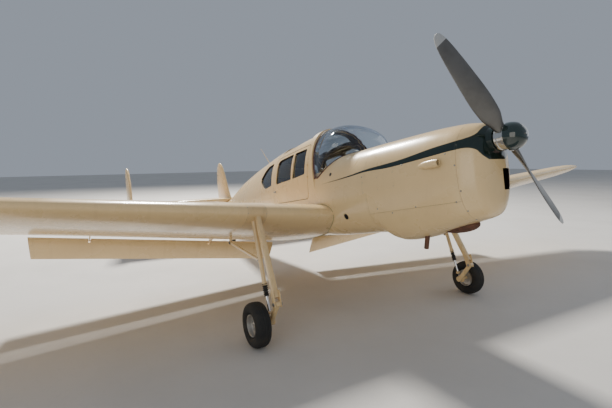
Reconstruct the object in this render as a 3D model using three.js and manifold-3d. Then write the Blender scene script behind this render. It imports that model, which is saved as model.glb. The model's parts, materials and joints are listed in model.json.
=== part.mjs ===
// Light liaison aircraft: a low-wing four-seat monoplane with an inverted in-line engine, fixed
// levered landing gear, external aerofoil flaps and a tailplane that carries three fins.
// Millimetres. Pieces are drawn in the aircraft's own datum frame: x forward, y to port, z up, with the
// origin on the ground between the main wheels. The whole is then pitched nose-up onto its tail wheel.
import * as THREE from 'three';
import { mergeVertices } from 'three/addons/utils/BufferGeometryUtils.js';
import Module from 'manifold-3d';

const wasm = await Module();
wasm.setup();

// Driving dimensions
const PARKED_PITCH = THREE.MathUtils.degToRad(9);
const SEAT = 0.3;               // gap between pieces that bear on each other
const WALL = 40;                // cabin and door wall
const SKIN = 12;                // engine cowl panels
const SWING_GAP = 7;            // clearance round a control surface
const DOOR_GAP = 10;            // clearance round a door
const BODY_SIDES = 24;
const ROUND = 10;               // sides of a small round bar
const CURVE = 3;                // steps of a rounded corner
const ARM_HALF = 6;             // half width of a hinge arm
const SLOT_HALF = ARM_HALF + SWING_GAP;
const TYRE_SIDES = 24;

const FIREWALL = 517;
const BOWL_JOINT = 1480;
const CABIN_REAR = -2130;
const FLOOR = 1140;
const ROOF_FRONT = -250;
const HOOP = { foot: [-374, 1590], top: [-485, 2230] };

const THRUST = 1642;            // height of the propeller shaft
const PROP = { radius: 965, plane: 1733, lean: -43, hubRadius: 95, hubRear: 1690, hubFront: 1772 };
const SPINNER = { radius: 110, front: 1899 };

const WHEEL = { radius: 213, rim: 105, width: 150, track: 2950, axle: 20 };
const LEG_Y = 1326;
const HUB_DEPTH = 14;           // how far the axle passes the middle of its wheel
const TAIL_WHEEL = { radius: 125, width: 70, station: -4750, trail: 85 };

const WING = {
  leadX: -29, leadZ: 1140, sweep: -0.062, dihedral: 0.0992, trailX: -1900, trailSweep: 0.0455,
  incidence: 0.1713, twist: 6.4e-6, camber: 0.014, thickRoot: 0.185, thickTip: 0.127, root: 300, tip: 5510,
};
const AILERON = { from: 3450, to: 4950, chord: 300 };
const FLAP = { from: 360, to: 3350, chord: 313, droop: 53, below: 25, hinge: 26, brackets: [620, 1320, 2750] };
const TAIL = { z: 1682, lead: -4560, sweep: -0.05, trail: -5400, hinge: -5080, tip: 1905 };
const FIN_Y = 1924;
const RUDDER_HINGE = -5130;

// Small geometry helpers
const v = (x, y, z) => new THREE.Vector3(x, y, z);

function closedGeometry(positions, triangles) {
  const kept = [];
  let volume = 0;
  const at = i => v(positions[3 * i], positions[3 * i + 1], positions[3 * i + 2]);
  for (const [a, b, c] of triangles) {
    kept.push(a, b, c);
    volume += at(a).dot(at(b).cross(at(c)));
  }
  if (volume < 0) for (let i = 0; i < kept.length; i += 3) [kept[i], kept[i + 1]] = [kept[i + 1], kept[i]];
  const geometry = new THREE.BufferGeometry();
  geometry.setAttribute('position', new THREE.Float32BufferAttribute(positions, 3));
  geometry.setIndex(kept);
  return geometry;
}

// A closed skin over rings of equal point count, its two ends closed by fans
function loft(rings) {
  const count = rings[0].length;
  const positions = [];
  const triangles = [];
  for (const ring of rings) for (const p of ring) positions.push(p.x, p.y, p.z);
  for (let r = 0; r + 1 < rings.length; r++) {
    for (let i = 0; i < count; i++) {
      const a = r * count + i;
      const b = r * count + (i + 1) % count;
      triangles.push([a, b, b + count], [a, b + count, a + count]);
    }
  }
  for (const [r, flip] of [[0, true], [rings.length - 1, false]]) {
    const centre = rings[r].reduce((sum, p) => sum.add(p), v(0, 0, 0)).divideScalar(count);
    const hub = positions.length / 3;
    positions.push(centre.x, centre.y, centre.z);
    for (let i = 0; i < count; i++) {
      const a = r * count + i;
      const b = r * count + (i + 1) % count;
      triangles.push(flip ? [hub, b, a] : [hub, a, b]);
    }
  }
  return closedGeometry(positions, triangles);
}

function solid(geometry) {
  const bare = new THREE.BufferGeometry();
  bare.setAttribute('position', geometry.getAttribute('position').clone());
  if (geometry.index) bare.setIndex(geometry.index.clone());
  const merged = mergeVertices(bare, 1e-3);
  const index = merged.index.array;
  const triangles = [];
  for (let i = 0; i < index.length; i += 3) {
    const [a, b, c] = [index[i], index[i + 1], index[i + 2]];
    if (a !== b && b !== c && c !== a) triangles.push([a, b, c]);
  }
  const outward = closedGeometry([...merged.getAttribute('position').array], triangles);
  const vertProperties = new Float32Array(outward.getAttribute('position').array);
  const triVerts = new Uint32Array(outward.index.array);
  return new wasm.Manifold(new wasm.Mesh({ numProp: 3, vertProperties, triVerts }));
}

// Radius of a bore of flat sides that clears a round pin turning in it
const boreFor = (pin, sides = ROUND) => (pin + SEAT) / Math.cos(Math.PI / sides);
const join = (...solids) => solids.reduce((a, b) => a.add(b));
const cut = (body, ...tools) => tools.reduce((a, b) => a.subtract(b), body);

function geometryOf(manifold) {
  const mesh = manifold.getMesh();
  const geometry = new THREE.BufferGeometry();
  geometry.setAttribute('position', new THREE.Float32BufferAttribute(mesh.vertProperties, 3));
  geometry.setIndex([...mesh.triVerts]);
  return geometry;
}

function mirrored(geometry) {
  const copy = geometry.clone().scale(1, -1, 1);
  const index = [...copy.index.array];
  for (let i = 0; i < index.length; i += 3) [index[i], index[i + 1]] = [index[i + 1], index[i]];
  copy.setIndex(index);
  return copy;
}
const mirroredSolid = manifold => solid(mirrored(geometryOf(manifold)));
const bothSides = manifold => join(manifold, mirroredSolid(manifold));

// Values of a table's other columns at one value of its first, along a smooth curve that never overshoots
function rowAt(table, x) {
  const rows = table[0][0] < table[table.length - 1][0] ? table : [...table].reverse();
  if (x <= rows[0][0]) return rows[0].slice(1);
  if (x >= rows[rows.length - 1][0]) return rows[rows.length - 1].slice(1);
  const k = rows.findIndex((row, i) => x < rows[i + 1][0]);
  const slope = (i, c) => (rows[i + 1][c] - rows[i][c]) / (rows[i + 1][0] - rows[i][0]);
  const tangent = (i, c) => {
    if (i === 0) return slope(0, c);
    if (i === rows.length - 1) return slope(i - 1, c);
    const [p, q] = [slope(i - 1, c), slope(i, c)];
    return p * q <= 0 ? 0 : 2 * p * q / (p + q);
  };
  const h = rows[k + 1][0] - rows[k][0];
  const t = (x - rows[k][0]) / h;
  return rows[k].slice(1).map((value, j) => {
    const c = j + 1;
    return value * (1 + 2 * t) * (1 - t) ** 2 + tangent(k, c) * h * t * (1 - t) ** 2
      + rows[k + 1][c] * t * t * (3 - 2 * t) + tangent(k + 1, c) * h * t * t * (t - 1);
  });
}

const range = (from, to, steps) => Array.from({ length: steps + 1 }, (_, i) => from + (to - from) * i / steps);

function box(from, to) {
  const size = to.clone().sub(from);
  const geometry = new THREE.BoxGeometry(size.x, size.y, size.z);
  const middle = from.clone().add(to).multiplyScalar(0.5);
  return solid(geometry.translate(middle.x, middle.y, middle.z));
}

// A round bar or cone between two points
function bar(from, to, radius, sides = ROUND, endRadius = radius) {
  const along = to.clone().sub(from);
  const geometry = new THREE.CylinderGeometry(endRadius, radius, along.length(), sides);
  const turn = new THREE.Quaternion().setFromUnitVectors(v(0, 1, 0), along.clone().normalize());
  const middle = from.clone().add(to).multiplyScalar(0.5);
  return solid(geometry.applyQuaternion(turn).translate(middle.x, middle.y, middle.z));
}

// A forging with a rounded oblong section between two points: [fore and aft, side to side] half sizes
function forging(from, to, startHalf, endHalf, sides = 12) {
  const along = to.clone().sub(from).normalize();
  const side = v(0, 1, 0);
  const front = side.clone().cross(along).normalize();
  const ring = (centre, [halfFront, halfSide]) => Array.from({ length: sides }, (_, i) => {
    const angle = 2 * Math.PI * i / sides;
    const blunt = value => Math.sign(value) * Math.abs(value) ** 0.55;
    return centre.clone().addScaledVector(front, halfFront * blunt(Math.cos(angle)))
      .addScaledVector(side, halfSide * blunt(Math.sin(angle)));
  });
  return solid(loft([ring(from, startHalf), ring(to, endHalf)]));
}

// A turned piece: profile of [radius, distance along the axis], placed with its axis along a direction
function turned(profile, centre, axis, segments = 24, start = 0) {
  const points = profile.map(([r, d]) => new THREE.Vector2(r, d));
  const geometry = new THREE.LatheGeometry(points, segments, start);
  const turn = new THREE.Quaternion().setFromUnitVectors(v(0, 1, 0), axis);
  return solid(geometry.applyQuaternion(turn).translate(centre.x, centre.y, centre.z));
}

// A plate with a side-view outline in x and z, from y0 to y1
function sidePlate(shape, y0, y1, curveSegments = CURVE) {
  const geometry = new THREE.ExtrudeGeometry(shape, { depth: y1 - y0, bevelEnabled: false, curveSegments });
  return solid(geometry.applyMatrix4(new THREE.Matrix4().set(1, 0, 0, 0, 0, 0, 1, y0, 0, 1, 0, 0, 0, 0, 0, 1)));
}

// A plate with a plan-view outline in x and y, from z0 to z1
function planPlate(corners, z0, z1) {
  const shape = new THREE.Shape(corners.map(([x, y]) => new THREE.Vector2(x, y)));
  return solid(new THREE.ExtrudeGeometry(shape, { depth: z1 - z0, bevelEnabled: false }).translate(0, 0, z0));
}

// A closed outline of corners [x, z, radius]
function roundedShape(corners) {
  const shape = new THREE.Shape();
  corners.forEach(([x, z, radius], i) => {
    const here = new THREE.Vector2(x, z);
    const before = new THREE.Vector2(...corners[(i + corners.length - 1) % corners.length].slice(0, 2));
    const after = new THREE.Vector2(...corners[(i + 1) % corners.length].slice(0, 2));
    const start = here.clone().add(before.sub(here).setLength(radius));
    const end = here.clone().add(after.sub(here).setLength(radius));
    if (i === 0) shape.moveTo(start.x, start.y);
    else shape.lineTo(start.x, start.y);
    shape.quadraticCurveTo(x, z, end.x, end.y);
  });
  return shape;
}

// A point given in the parked attitude, forward and above the ground, seen in the datum frame
function parked(forward, y, up) {
  const [c, s] = [Math.cos(PARKED_PITCH), Math.sin(PARKED_PITCH)];
  return v(forward * c + up * s, y, -forward * s + up * c);
}

// Fuselage: sides and belly, then the line of the engine deck and that of the roof and spine
const SIDES = [
  // x, half width, bottom, widest height, lower power
  [1645, 100, 1150, 1478, 2.2], [1628, 160, 1100, 1470, 2.3], [1580, 224, 1048, 1462, 2.5],
  [1415, 302, 1006, 1445, 2.7], [1100, 352, 930, 1430, 2.9], [727, 402, 863, 1425, 3.0],
  [640, 414, 882, 1425, 3.0], [575, 424, 920, 1425, 3.0], [517, 432, 939, 1425, 3.0],
  [400, 442, 941, 1425, 3.0], [-300, 476, 918, 1430, 3.2], [-1000, 484, 915, 1430, 3.0],
  [-1950, 440, 955, 1420, 2.7], [-3000, 330, 1030, 1410, 2.5],
  [-4200, 180, 1160, 1430, 2.3], [-5000, 84, 1270, 1450, 2.2], [-5390, 34, 1330, 1460, 2.0],
];
const DECK = [
  // x, top, upper power
  [1645, 1728, 2.0], [1628, 1752, 2.1], [1580, 1792, 2.2], [1415, 1822, 2.4], [1100, 1838, 2.5],
  [450, 1844, 2.5], [-460, 1844, 2.5],
];
const ROOF = [
  // x, top, upper power
  [-300, 2226, 2.6], [-485, 2228, 2.6], [-1100, 2188, 2.6], [-1700, 2150, 2.4], [-2400, 2088, 2.0],
  [-3470, 1926, 1.9], [-4530, 1664, 2.0], [-5000, 1606, 2.0], [-5390, 1560, 2.0],
];

function bodyRing(x, tops, grow) {
  const [halfWidth, bottom, widest, lowerPower] = rowAt(SIDES, x);
  const [top, upperPower] = rowAt(tops, x);
  return Array.from({ length: BODY_SIDES }, (_, i) => {
    const angle = 2 * Math.PI * i / BODY_SIDES;
    const [c, s] = [Math.cos(angle), Math.sin(angle)];
    const power = s > 0 ? upperPower : lowerPower;
    const height = s > 0 ? top - widest : widest - bottom;
    return v(x, (halfWidth + grow) * Math.sign(c) * Math.abs(c) ** (2 / power),
      widest + (height + grow) * Math.sign(s) * Math.abs(s) ** (2 / power));
  });
}

const BODY_X = [1645, 1636, 1615, 1580, 1480, 1380, 1250, 1100, 900, 727, 640, 575, 517, 400, 200, -100, -460,
  -800, -1200, -1600, -2130, -2600, -3100, -3600, -4100, -4530, -5000, -5390];
const INNER_X = BODY_X.filter((x, i) => i % 2 === 0);
const BIG = 7000;

// The body between two stations, all its lofts sharing the same rings so that neighbours match
function body(tops, from, to, grow = 0, stations = BODY_X) {
  const whole = solid(loft(stations.map(x => bodyRing(x, tops, grow))));
  return whole.intersect(box(v(Math.min(from, to), -BIG, -BIG), v(Math.max(from, to), BIG, BIG)));
}

// Half space behind the leaning plane of the windscreen hoop, moved forward by a distance
function behindHoop(forward) {
  const [x0, z0] = HOOP.foot;
  const [x1, z1] = HOOP.top;
  const lean = (x1 - x0) / (z1 - z0);
  const at = z => x0 + (z - z0) * lean + forward;
  const shape = new THREE.Shape([[at(500), 500], [at(2800), 2800], [-7000, 2800], [-7000, 500]]
    .map(([x, z]) => new THREE.Vector2(x, z)));
  return sidePlate(shape, -900, 900);
}

// Windscreen: a blown bubble that is widest above its sill
const BUBBLE = [
  // x, half width, top, height of the widest line
  [66, 60, 1925, 1895], [60, 184, 1958, 1930], [50, 253, 2004, 1938], [11, 354, 2086, 1929],
  [-42, 409, 2138, 1913], [-95, 435, 2169, 1868], [-148, 447, 2190, 1803], [-254, 453, 2212, 1676],
  [-330, 454, 2219, 1590], [-560, 455, 2222, 1577],
];
const BUBBLE_STATIONS = [66, 60, 48, 11, -42, -95, -148, -210, -290, -390, -520];
const BUBBLE_DEPTH = 110;       // how far its section runs on below the widest line

function bubble(grow) {
  const rings = BUBBLE_STATIONS.map(x => {
    const [halfWidth, top, base] = rowAt(BUBBLE, x);
    return Array.from({ length: BODY_SIDES }, (_, i) => {
      const angle = 2 * Math.PI * i / BODY_SIDES;
      const [c, s] = [Math.cos(angle), Math.sin(angle)];
      const height = s > 0 ? top - base : BUBBLE_DEPTH;
      return v(x + Math.min(grow, 0), (halfWidth + grow) * Math.sign(c) * Math.abs(c) ** 0.9,
        base + (height + grow) * Math.sign(s) * Math.abs(s) ** 0.9);
    });
  });
  return solid(loft(rings));
}

// Wing: LE is the nose of the section, TE its trailing edge
const WING_TIP = [
  // y, leading edge inset, trailing edge inset, share of thickness
  [300, 0, 0, 1], [4700, 0, 0, 1], [5000, 8, 55, 0.97], [5250, 50, 185, 0.86], [5400, 120, 330, 0.68],
  [5480, 215, 500, 0.42], [5510, 330, 680, 0.12],
];
const sectionX = [0, 0.02, 0.09, 0.25, 0.48, 0.74, 1];

function halfThickness(x, ratio) {
  return 5 * ratio * (0.2969 * Math.sqrt(x) - 0.126 * x - 0.3516 * x ** 2 + 0.2843 * x ** 3 - 0.1036 * x ** 4);
}

// An aerofoil from lead to trail, with its thickness along the direction up
function foilRing(lead, trail, up, ratio, camber, grow = 0) {
  const chord = lead.distanceTo(trail);
  const along = trail.clone().sub(lead).divideScalar(chord);
  const place = (x, sign) => {
    const mean = camber * 4 * x * (1 - x) * chord;
    const half = x < 1 ? halfThickness(x, ratio) * chord + grow : 0;
    const stretch = (x - 0.5) * 2 * grow;
    return lead.clone().addScaledVector(along, x * chord + stretch).addScaledVector(up, mean + sign * half);
  };
  const upper = sectionX.slice(1, -1).map(x => place(x, 1));
  const lower = sectionX.slice(1, -1).reverse().map(x => place(x, -1));
  return [place(0, 0), ...upper, place(1, 0), ...lower];
}

function wingEdges(y) {
  const leadX = WING.leadX + WING.sweep * y;
  const leadZ = WING.leadZ + WING.dihedral * y;
  const trailX = WING.trailX + WING.trailSweep * y;
  return [v(leadX, y, leadZ), v(trailX, y, leadZ - (leadX - trailX) * (WING.incidence - WING.twist * y))];
}

function wingSolid(grow = 0) {
  const stations = [WING.root, 3350, 4700, 5000, 5200, 5340, 5430, 5485, 5510];
  return solid(loft(stations.map(y => {
    const [lead, trail] = wingEdges(y);
    const [leadInset, trailInset, share] = rowAt(WING_TIP, y);
    const chord = lead.distanceTo(trail);
    const along = trail.clone().sub(lead).divideScalar(chord);
    const ratio = THREE.MathUtils.lerp(WING.thickRoot, WING.thickTip, y / WING.tip) * share;
    const tipGrow = y > 5505 ? grow : 0;
    return foilRing(lead.addScaledVector(along, leadInset).setY(y + tipGrow),
      trail.addScaledVector(along, -trailInset).setY(y + tipGrow), v(0, 0, 1), ratio, WING.camber, grow);
  })));
}

// A control surface with a round nose on its hinge line. Ends: {hinge, trail, half}, at its two ends.
// It returns the surface and the room that its carrier leaves for it.
function surface(rawEnds, upward, lugs) {
  const span = rawEnds[1].hinge.clone().sub(rawEnds[0].hinge);
  const line = span.clone().normalize();
  const squared = d => d.clone().addScaledVector(line, -d.dot(line));
  const thickness = squared(upward).normalize();
  const squaredTrail = end => end.hinge.clone().add(squared(end.trail.clone().sub(end.hinge)));
  const ends = rawEnds.map(end => ({ ...end, trail: squaredTrail(end) }));
  const noseRing = ({ hinge, trail, half }, room) => {
    const back = trail.clone().sub(hinge);
    const chord = back.length();
    back.divideScalar(chord);
    const nose = half + room;
    const reach = room > 0 ? chord + 400 : chord;
    const tail = room > 0 ? nose : 3;
    const arc = range(-90, 90, 6).map(deg => {
      const angle = THREE.MathUtils.degToRad(deg);
      return hinge.clone().addScaledVector(back, -nose * Math.cos(angle))
        .addScaledVector(thickness, nose * Math.sin(angle));
    });
    return [...arc, hinge.clone().addScaledVector(back, reach).addScaledVector(thickness, tail),
      hinge.clone().addScaledVector(back, reach).addScaledVector(thickness, -tail)];
  };
  const grown = ends.map((end, i) => {
    const shift = line.clone().multiplyScalar(i === 0 ? -SWING_GAP : SWING_GAP);
    return { hinge: end.hinge.clone().add(shift), trail: end.trail.clone().add(shift), half: end.half };
  });
  let blade = solid(loft(ends.map(end => noseRing(end, 0))));
  const room = solid(loft(grown.map(end => noseRing(end, SWING_GAP))));
  const arms = [];
  for (const { at, reach } of lugs) {
    const hinge = ends[0].hinge.clone().addScaledVector(span, at);
    const half = THREE.MathUtils.lerp(ends[0].half, ends[1].half, at);
    const back = ends[0].trail.clone().sub(ends[0].hinge).normalize();
    blade = cut(blade, plank(hinge, back, line, thickness, [-half - 20, 24], SLOT_HALF, half + 60));
    const arm = plank(hinge, back, line, thickness, [-reach, 9], ARM_HALF, Math.min(half * 0.6, 16));
    arms.push(join(arm, hingePin(hinge, line, 7)));
  }
  return { blade, room, arms };
}

// The pin that fills a surface's slot on its hinge line
function hingePin(hinge, line, radius) {
  const [from, to] = [-1, 1].map(end => hinge.clone().addScaledVector(line, end * (SLOT_HALF - SEAT)));
  return bar(from, to, radius, 8);
}

// A square block about a point: from a to b along its back, and half sizes along its line and up. The line
// is kept as given, and the other two are squared to it.
function plank(centre, backward, line, upward, [a, b], halfLine, halfUp) {
  const up = upward.clone().addScaledVector(line, -upward.dot(line)).normalize();
  const back = line.clone().cross(up);
  if (back.dot(backward) < 0) back.negate();
  const ring = d => [[1, 1], [-1, 1], [-1, -1], [1, -1]].map(([i, j]) => centre.clone()
    .addScaledVector(back, d).addScaledVector(line, i * halfLine).addScaledVector(up, j * halfUp));
  return solid(loft([ring(a), ring(b)]));
}

// Materials
const paint = { color: 0xe3d3a6, roughness: 0.35, metalness: 0 };
const FINISH = {
  paint,
  green: { color: 0x0f2f25, roughness: 0.15, metalness: 0 },
  glass: { color: 0xb9cdd6, roughness: 0.05, metalness: 0, transparent: true, opacity: 0.35 },
  tyre: { color: 0x141414, roughness: 0.85, metalness: 0 },
  alloy: { color: 0x9a9a98, roughness: 0.35, metalness: 1 },
  blade: { color: 0x6e6e6a, roughness: 0.45, metalness: 1 },
  engine: { color: 0x2b2b2b, roughness: 0.7, metalness: 0.5 },
  rust: { color: 0x5a3526, roughness: 0.8, metalness: 0.5 },
  leather: { color: 0x4a1f1c, roughness: 0.55, metalness: 0 },
  dark: { color: 0x2a1d1b, roughness: 0.7, metalness: 0 },
};

const airframe = new THREE.Group();
function add(name, manifold, finish) {
  const geometry = manifold.isBufferGeometry ? manifold : geometryOf(manifold);
  geometry.computeVertexNormals();
  const mesh = new THREE.Mesh(geometry, new THREE.MeshStandardMaterial(FINISH[finish]));
  mesh.name = name;
  airframe.add(mesh);
}
function addPair(name, manifold, finish) {
  const geometry = geometryOf(manifold);
  add(`${name}_port`, geometry, finish);
  add(`${name}_starboard`, mirrored(geometry), finish);
}

// Whole outer body, for cutting its neighbours
const bodyGrown = join(body(DECK, BIG, -460, SEAT),
  body(ROOF, ROOF_FRONT, -BIG, SEAT).intersect(behindHoop(SEAT)));

// Cabin shell, doors and glass
const cabinRoofOuter = body(ROOF, ROOF_FRONT, CABIN_REAR).intersect(behindHoop(0));
const cabinOuter = join(body(DECK, FIREWALL, -460), cabinRoofOuter);
const cabinInner = join(body(DECK, FIREWALL - WALL, -520, -WALL, INNER_X),
  body(ROOF, ROOF_FRONT, CABIN_REAR + WALL, -WALL, INNER_X));
const aboveFloor = box(v(-3000, -900, FLOOR), v(900, 900, 3000));
// The opening under the windscreen, a little inside its sill
const coamingEdge = [[-262, 408], [-182, 374], [-148, 343], [-95, 283], [-42, 230], [11, 205], [38, 150], [50, 60]];
const coamingOutline = [...coamingEdge, ...[...coamingEdge].reverse().map(([x, y]) => [x, -y])];
const coaming = planPlate(coamingOutline, 1500, 1900);

// The control column stands in a shallow socket in the floor
const COLUMN = { foot: 16, top: 1480, sunk: 10 };
const columnAt = z => v(-150 - 40 * (z - FLOOR) / (COLUMN.top - FLOOR), 0, z);
const socketFoot = columnAt(FLOOR - COLUMN.sunk / 2).setZ(FLOOR - COLUMN.sunk);
const columnSocket = bar(socketFoot, socketFoot.clone().setZ(FLOOR + 5), boreFor(COLUMN.foot + 1.2, 12), 12);

const WINDOWS = {
  doorFront: [[-570, 1684, 30], [-575, 1992, 25], [-882, 1988, 20], [-882, 1662, 20]],
  doorRear: [[-928, 1660, 20], [-928, 1987, 20], [-1400, 1968, 70], [-1385, 1645, 40]],
  quarter: [[-1558, 1650, 25], [-1604, 1972, 25], [-1880, 1956, 110], [-2086, 1780, 90], [-1860, 1620, 100]],
};
// The door hinge leans in towards its top: its line in y at two heights, and the heights of its two hinges
const DOOR = { front: -500, rear: -1468, bottom: 1380, top: 2036 };
const HINGE = { x: -505, low: [508.6, 1380], high: [432, 2036], at: [1640, 1780], pin: 5, barrel: 8 };
const doorOutline = inset => roundedShape([
  [DOOR.front - inset, DOOR.bottom + inset, 60], [DOOR.front - inset, DOOR.top - inset, 40],
  [DOOR.rear + inset, DOOR.top - 28 - inset, 60], [DOOR.rear + inset, DOOR.bottom + inset, 60]]);
const portPlate = shape => sidePlate(shape, 150, 800);
const windowPlate = name => portPlate(roundedShape(WINDOWS[name]));
const insetWindow = name => {
  const outline = roundedShape(WINDOWS[name]).getPoints(CURVE);
  const middle = outline.reduce((sum, p) => sum.add(p), new THREE.Vector2()).divideScalar(outline.length);
  return portPlate(new THREE.Shape(outline.map(p => {
    const out = p.clone().sub(middle);
    return middle.clone().add(out.setLength(out.length() - 1.5 * SEAT));
  })));
};
const glassLayer = cut(body(ROOF, -380, CABIN_REAR, -16, INNER_X),
  body(ROOF, -330, CABIN_REAR - 50, -22, INNER_X));

const ROOF_LIGHT = { front: -580, rear: -1400, half: 306 };
const roofHole = (gap = 0) => box(v(ROOF_LIGHT.rear + gap, -ROOF_LIGHT.half + gap, 1960),
  v(ROOF_LIGHT.front - gap, ROOF_LIGHT.half - gap, 2400));

const doorHole = portPlate(doorOutline(0));
const ventHole = bar(v(150, -400, 1138), v(150, -560, 1138), 34, 16);
const shellSolid = cut(cabinOuter, cabinInner.intersect(aboveFloor), coaming, bothSides(doorHole),
  bothSides(windowPlate('quarter')), roofHole(), ventHole, columnSocket);

const hingeAt = z => {
  const [[y0, z0], [y1, z1]] = [HINGE.low, HINGE.high];
  return v(HINGE.x, y0 + (y1 - y0) * (z - z0) / (z1 - z0), z);
};
const hingeBlock = (z, half, front, rear) => {
  const { y } = hingeAt(z);
  return box(v(rear, y - 32, z - half), v(front, y + HINGE.barrel * 0.6, z + half));
};
const hingePins = HINGE.at.map(z => join(bar(hingeAt(z - 26), hingeAt(z + 26), HINGE.pin),
  ...[-22, 22].map(d => hingeBlock(z + d, 6, -480, HINGE.x - 4))));
const hingeBarrels = HINGE.at.map(z => cut(
  join(bar(hingeAt(z - 14), hingeAt(z + 14), HINGE.barrel), hingeBlock(z, 14, HINGE.x, -530)),
  bar(hingeAt(z - 20), hingeAt(z + 20), boreFor(HINGE.pin))));
add('cabin_shell', join(shellSolid, bothSides(join(...hingePins))), 'paint');

const doorWall = cut(cabinRoofOuter, cabinInner).intersect(portPlate(doorOutline(DOOR_GAP)));
const mullionRelief = body(ROOF, -380, CABIN_REAR, -15.4, INNER_X)
  .intersect(box(v(-950, 150, 1690), v(-860, 800, 1960)));
const doorFrame = cut(doorWall, windowPlate('doorFront'), windowPlate('doorRear'), mullionRelief);
addPair('door', join(doorFrame, ...hingeBarrels), 'paint');
const doorGlass = glassLayer.intersect(join(insetWindow('doorFront'), insetWindow('doorRear'),
  box(v(-945, 150, 1691), v(-865, 800, 1959))));
addPair('door_glass', doorGlass, 'glass');
addPair('quarter_glass', glassLayer.intersect(insetWindow('quarter')), 'glass');
add('roof_glass', glassLayer.intersect(roofHole(1.5 * SEAT)), 'glass');

const belowSill = box(v(-600, -900, 0), v(900, 900, 1500));
add('windscreen', cut(bubble(0), bubble(-8), bodyGrown, behindHoop(SEAT), belowSill), 'glass');

// Rear fuselage and cabin furniture
const tailplaneRing = (y, trail, grow = 0) => {
  const lead = v(TAIL.lead + TAIL.sweep * Math.abs(y), y, TAIL.z);
  return foilRing(lead, v(trail, y, TAIL.z), v(0, 0, 1), 0.12, 0, grow);
};
const tailplaneWhole = (grow = 0) =>
  solid(loft([-TAIL.tip, -140, 140, TAIL.tip].map(y => tailplaneRing(y, TAIL.trail, grow))));
add('rear_fuselage', body(ROOF, CABIN_REAR - SEAT, -BIG), 'paint');

const panel = box(v(0, -460, 1420), v(30, 460, 1840)).intersect(body(DECK, 300, -300, -WALL - SEAT, INNER_X));
add('instrument_panel', panel, 'dark');

function seatSolid(front, back, y0, y1, seatTop, backTop) {
  const profile = roundedShape([[front, FLOOR + SEAT, 20], [front, seatTop, 50], [back + 150, seatTop - 30, 30],
    [back + 30, backTop, 40], [back - 60, backTop, 40], [back, FLOOR + SEAT, 20]]);
  return sidePlate(profile, y0, y1, 4);
}
addPair('front_seat', seatSolid(-480, -1010, 30, 375, 1370, 1830), 'leather');
add('rear_bench', seatSolid(-1430, -1850, -335, 335, 1370, 1800), 'leather');

const column = join(bar(columnAt(FLOOR - 30), columnAt(COLUMN.top), COLUMN.foot, 12, 14),
  bar(v(-190, -300, 1480), v(-190, 300, 1480), 12, 12),
  ...[-1, 1].map(hand => bar(v(-190, hand * 290, 1478), v(-200, hand * 300, 1600), 12, 12, 13)));
const columnFoot = box(v(-900, -900, FLOOR - COLUMN.sunk + SEAT), v(900, 900, 2200));
add('control_column', column.intersect(columnFoot), 'dark');

// Engine bay
const cowlOuter = body(DECK, FIREWALL + SEAT, BOWL_JOINT - SEAT);
const cowlInner = body(DECK, FIREWALL - 20, BOWL_JOINT + 20, -SKIN, INNER_X);
const splitLine = x => 1150 + 0.043 * (x - 656);
const belowSplit = gap => sidePlate(new THREE.Shape([[400, splitLine(400) + gap], [1700, splitLine(1700) + gap],
  [1700, 600], [400, 600]].map(([x, z]) => new THREE.Vector2(x, z))), -700, 700);
const cowlShell = cut(cowlOuter, cowlInner);
const exhaustHole = bar(v(1000, -100, 1120), v(905, -100, 770), 28);
const bulge = (centre, size) => solid(new THREE.SphereGeometry(1, 14, 8).scale(...size).translate(...centre));
const outlet = bulge([1165, 30, 985], [235, 105, 72]);
const blister = bulge([1300, -352, 1512], [150, 26, 34])
  .intersect(box(v(1100, -420, 1400), v(1370, -300, 1600)));
add('cowl_upper', join(cut(cowlShell, belowSplit(SEAT)), cut(blister, cowlInner)), 'paint');
add('cowl_lower', cut(cowlShell.intersect(belowSplit(0)), exhaustHole), 'paint');
add('cooling_outlet', cut(outlet, body(DECK, 700, 1500, SEAT)), 'rust');

const bowlOuter = body(DECK, BOWL_JOINT, BIG);
const bowlInner = body(DECK, BOWL_JOINT - 20, 1645 - SKIN, -SKIN, INNER_X);
const shaftHole = bar(v(1500, 0, THRUST), v(1800, 0, THRUST), 62, 28);
const hubCollar = bar(v(1600, 0, THRUST), v(1680, 0, THRUST), 112, 32, 99);
const intakeMouth = [[1500, 1250, 10], [1500, 1420, 10], [1700, 1420, 10], [1700, 1250, 10]];
const intake = sidePlate(roundedShape(intakeMouth), 55, 150);
add('nose_bowl', cut(join(bowlOuter, hubCollar), bowlInner, shaftHole, intake), 'paint');

const engine = join(box(v(640, -165, 1200), v(1430, 165, 1640)),
  bothSides(box(v(FIREWALL + SEAT, 110, 1560), v(660, 150, 1620))),
  bar(v(1380, 0, THRUST), v(PROP.hubRear - SEAT, 0, THRUST), 40, 24));
add('engine_block', engine, 'engine');
const stub = bar(v(1030, -100, 1240), v(908, -100, 785), 22);
add('exhaust_stub', stub.intersect(box(v(800, -200, 700), v(1200, 0, 1200 - SEAT))), 'rust');

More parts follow.
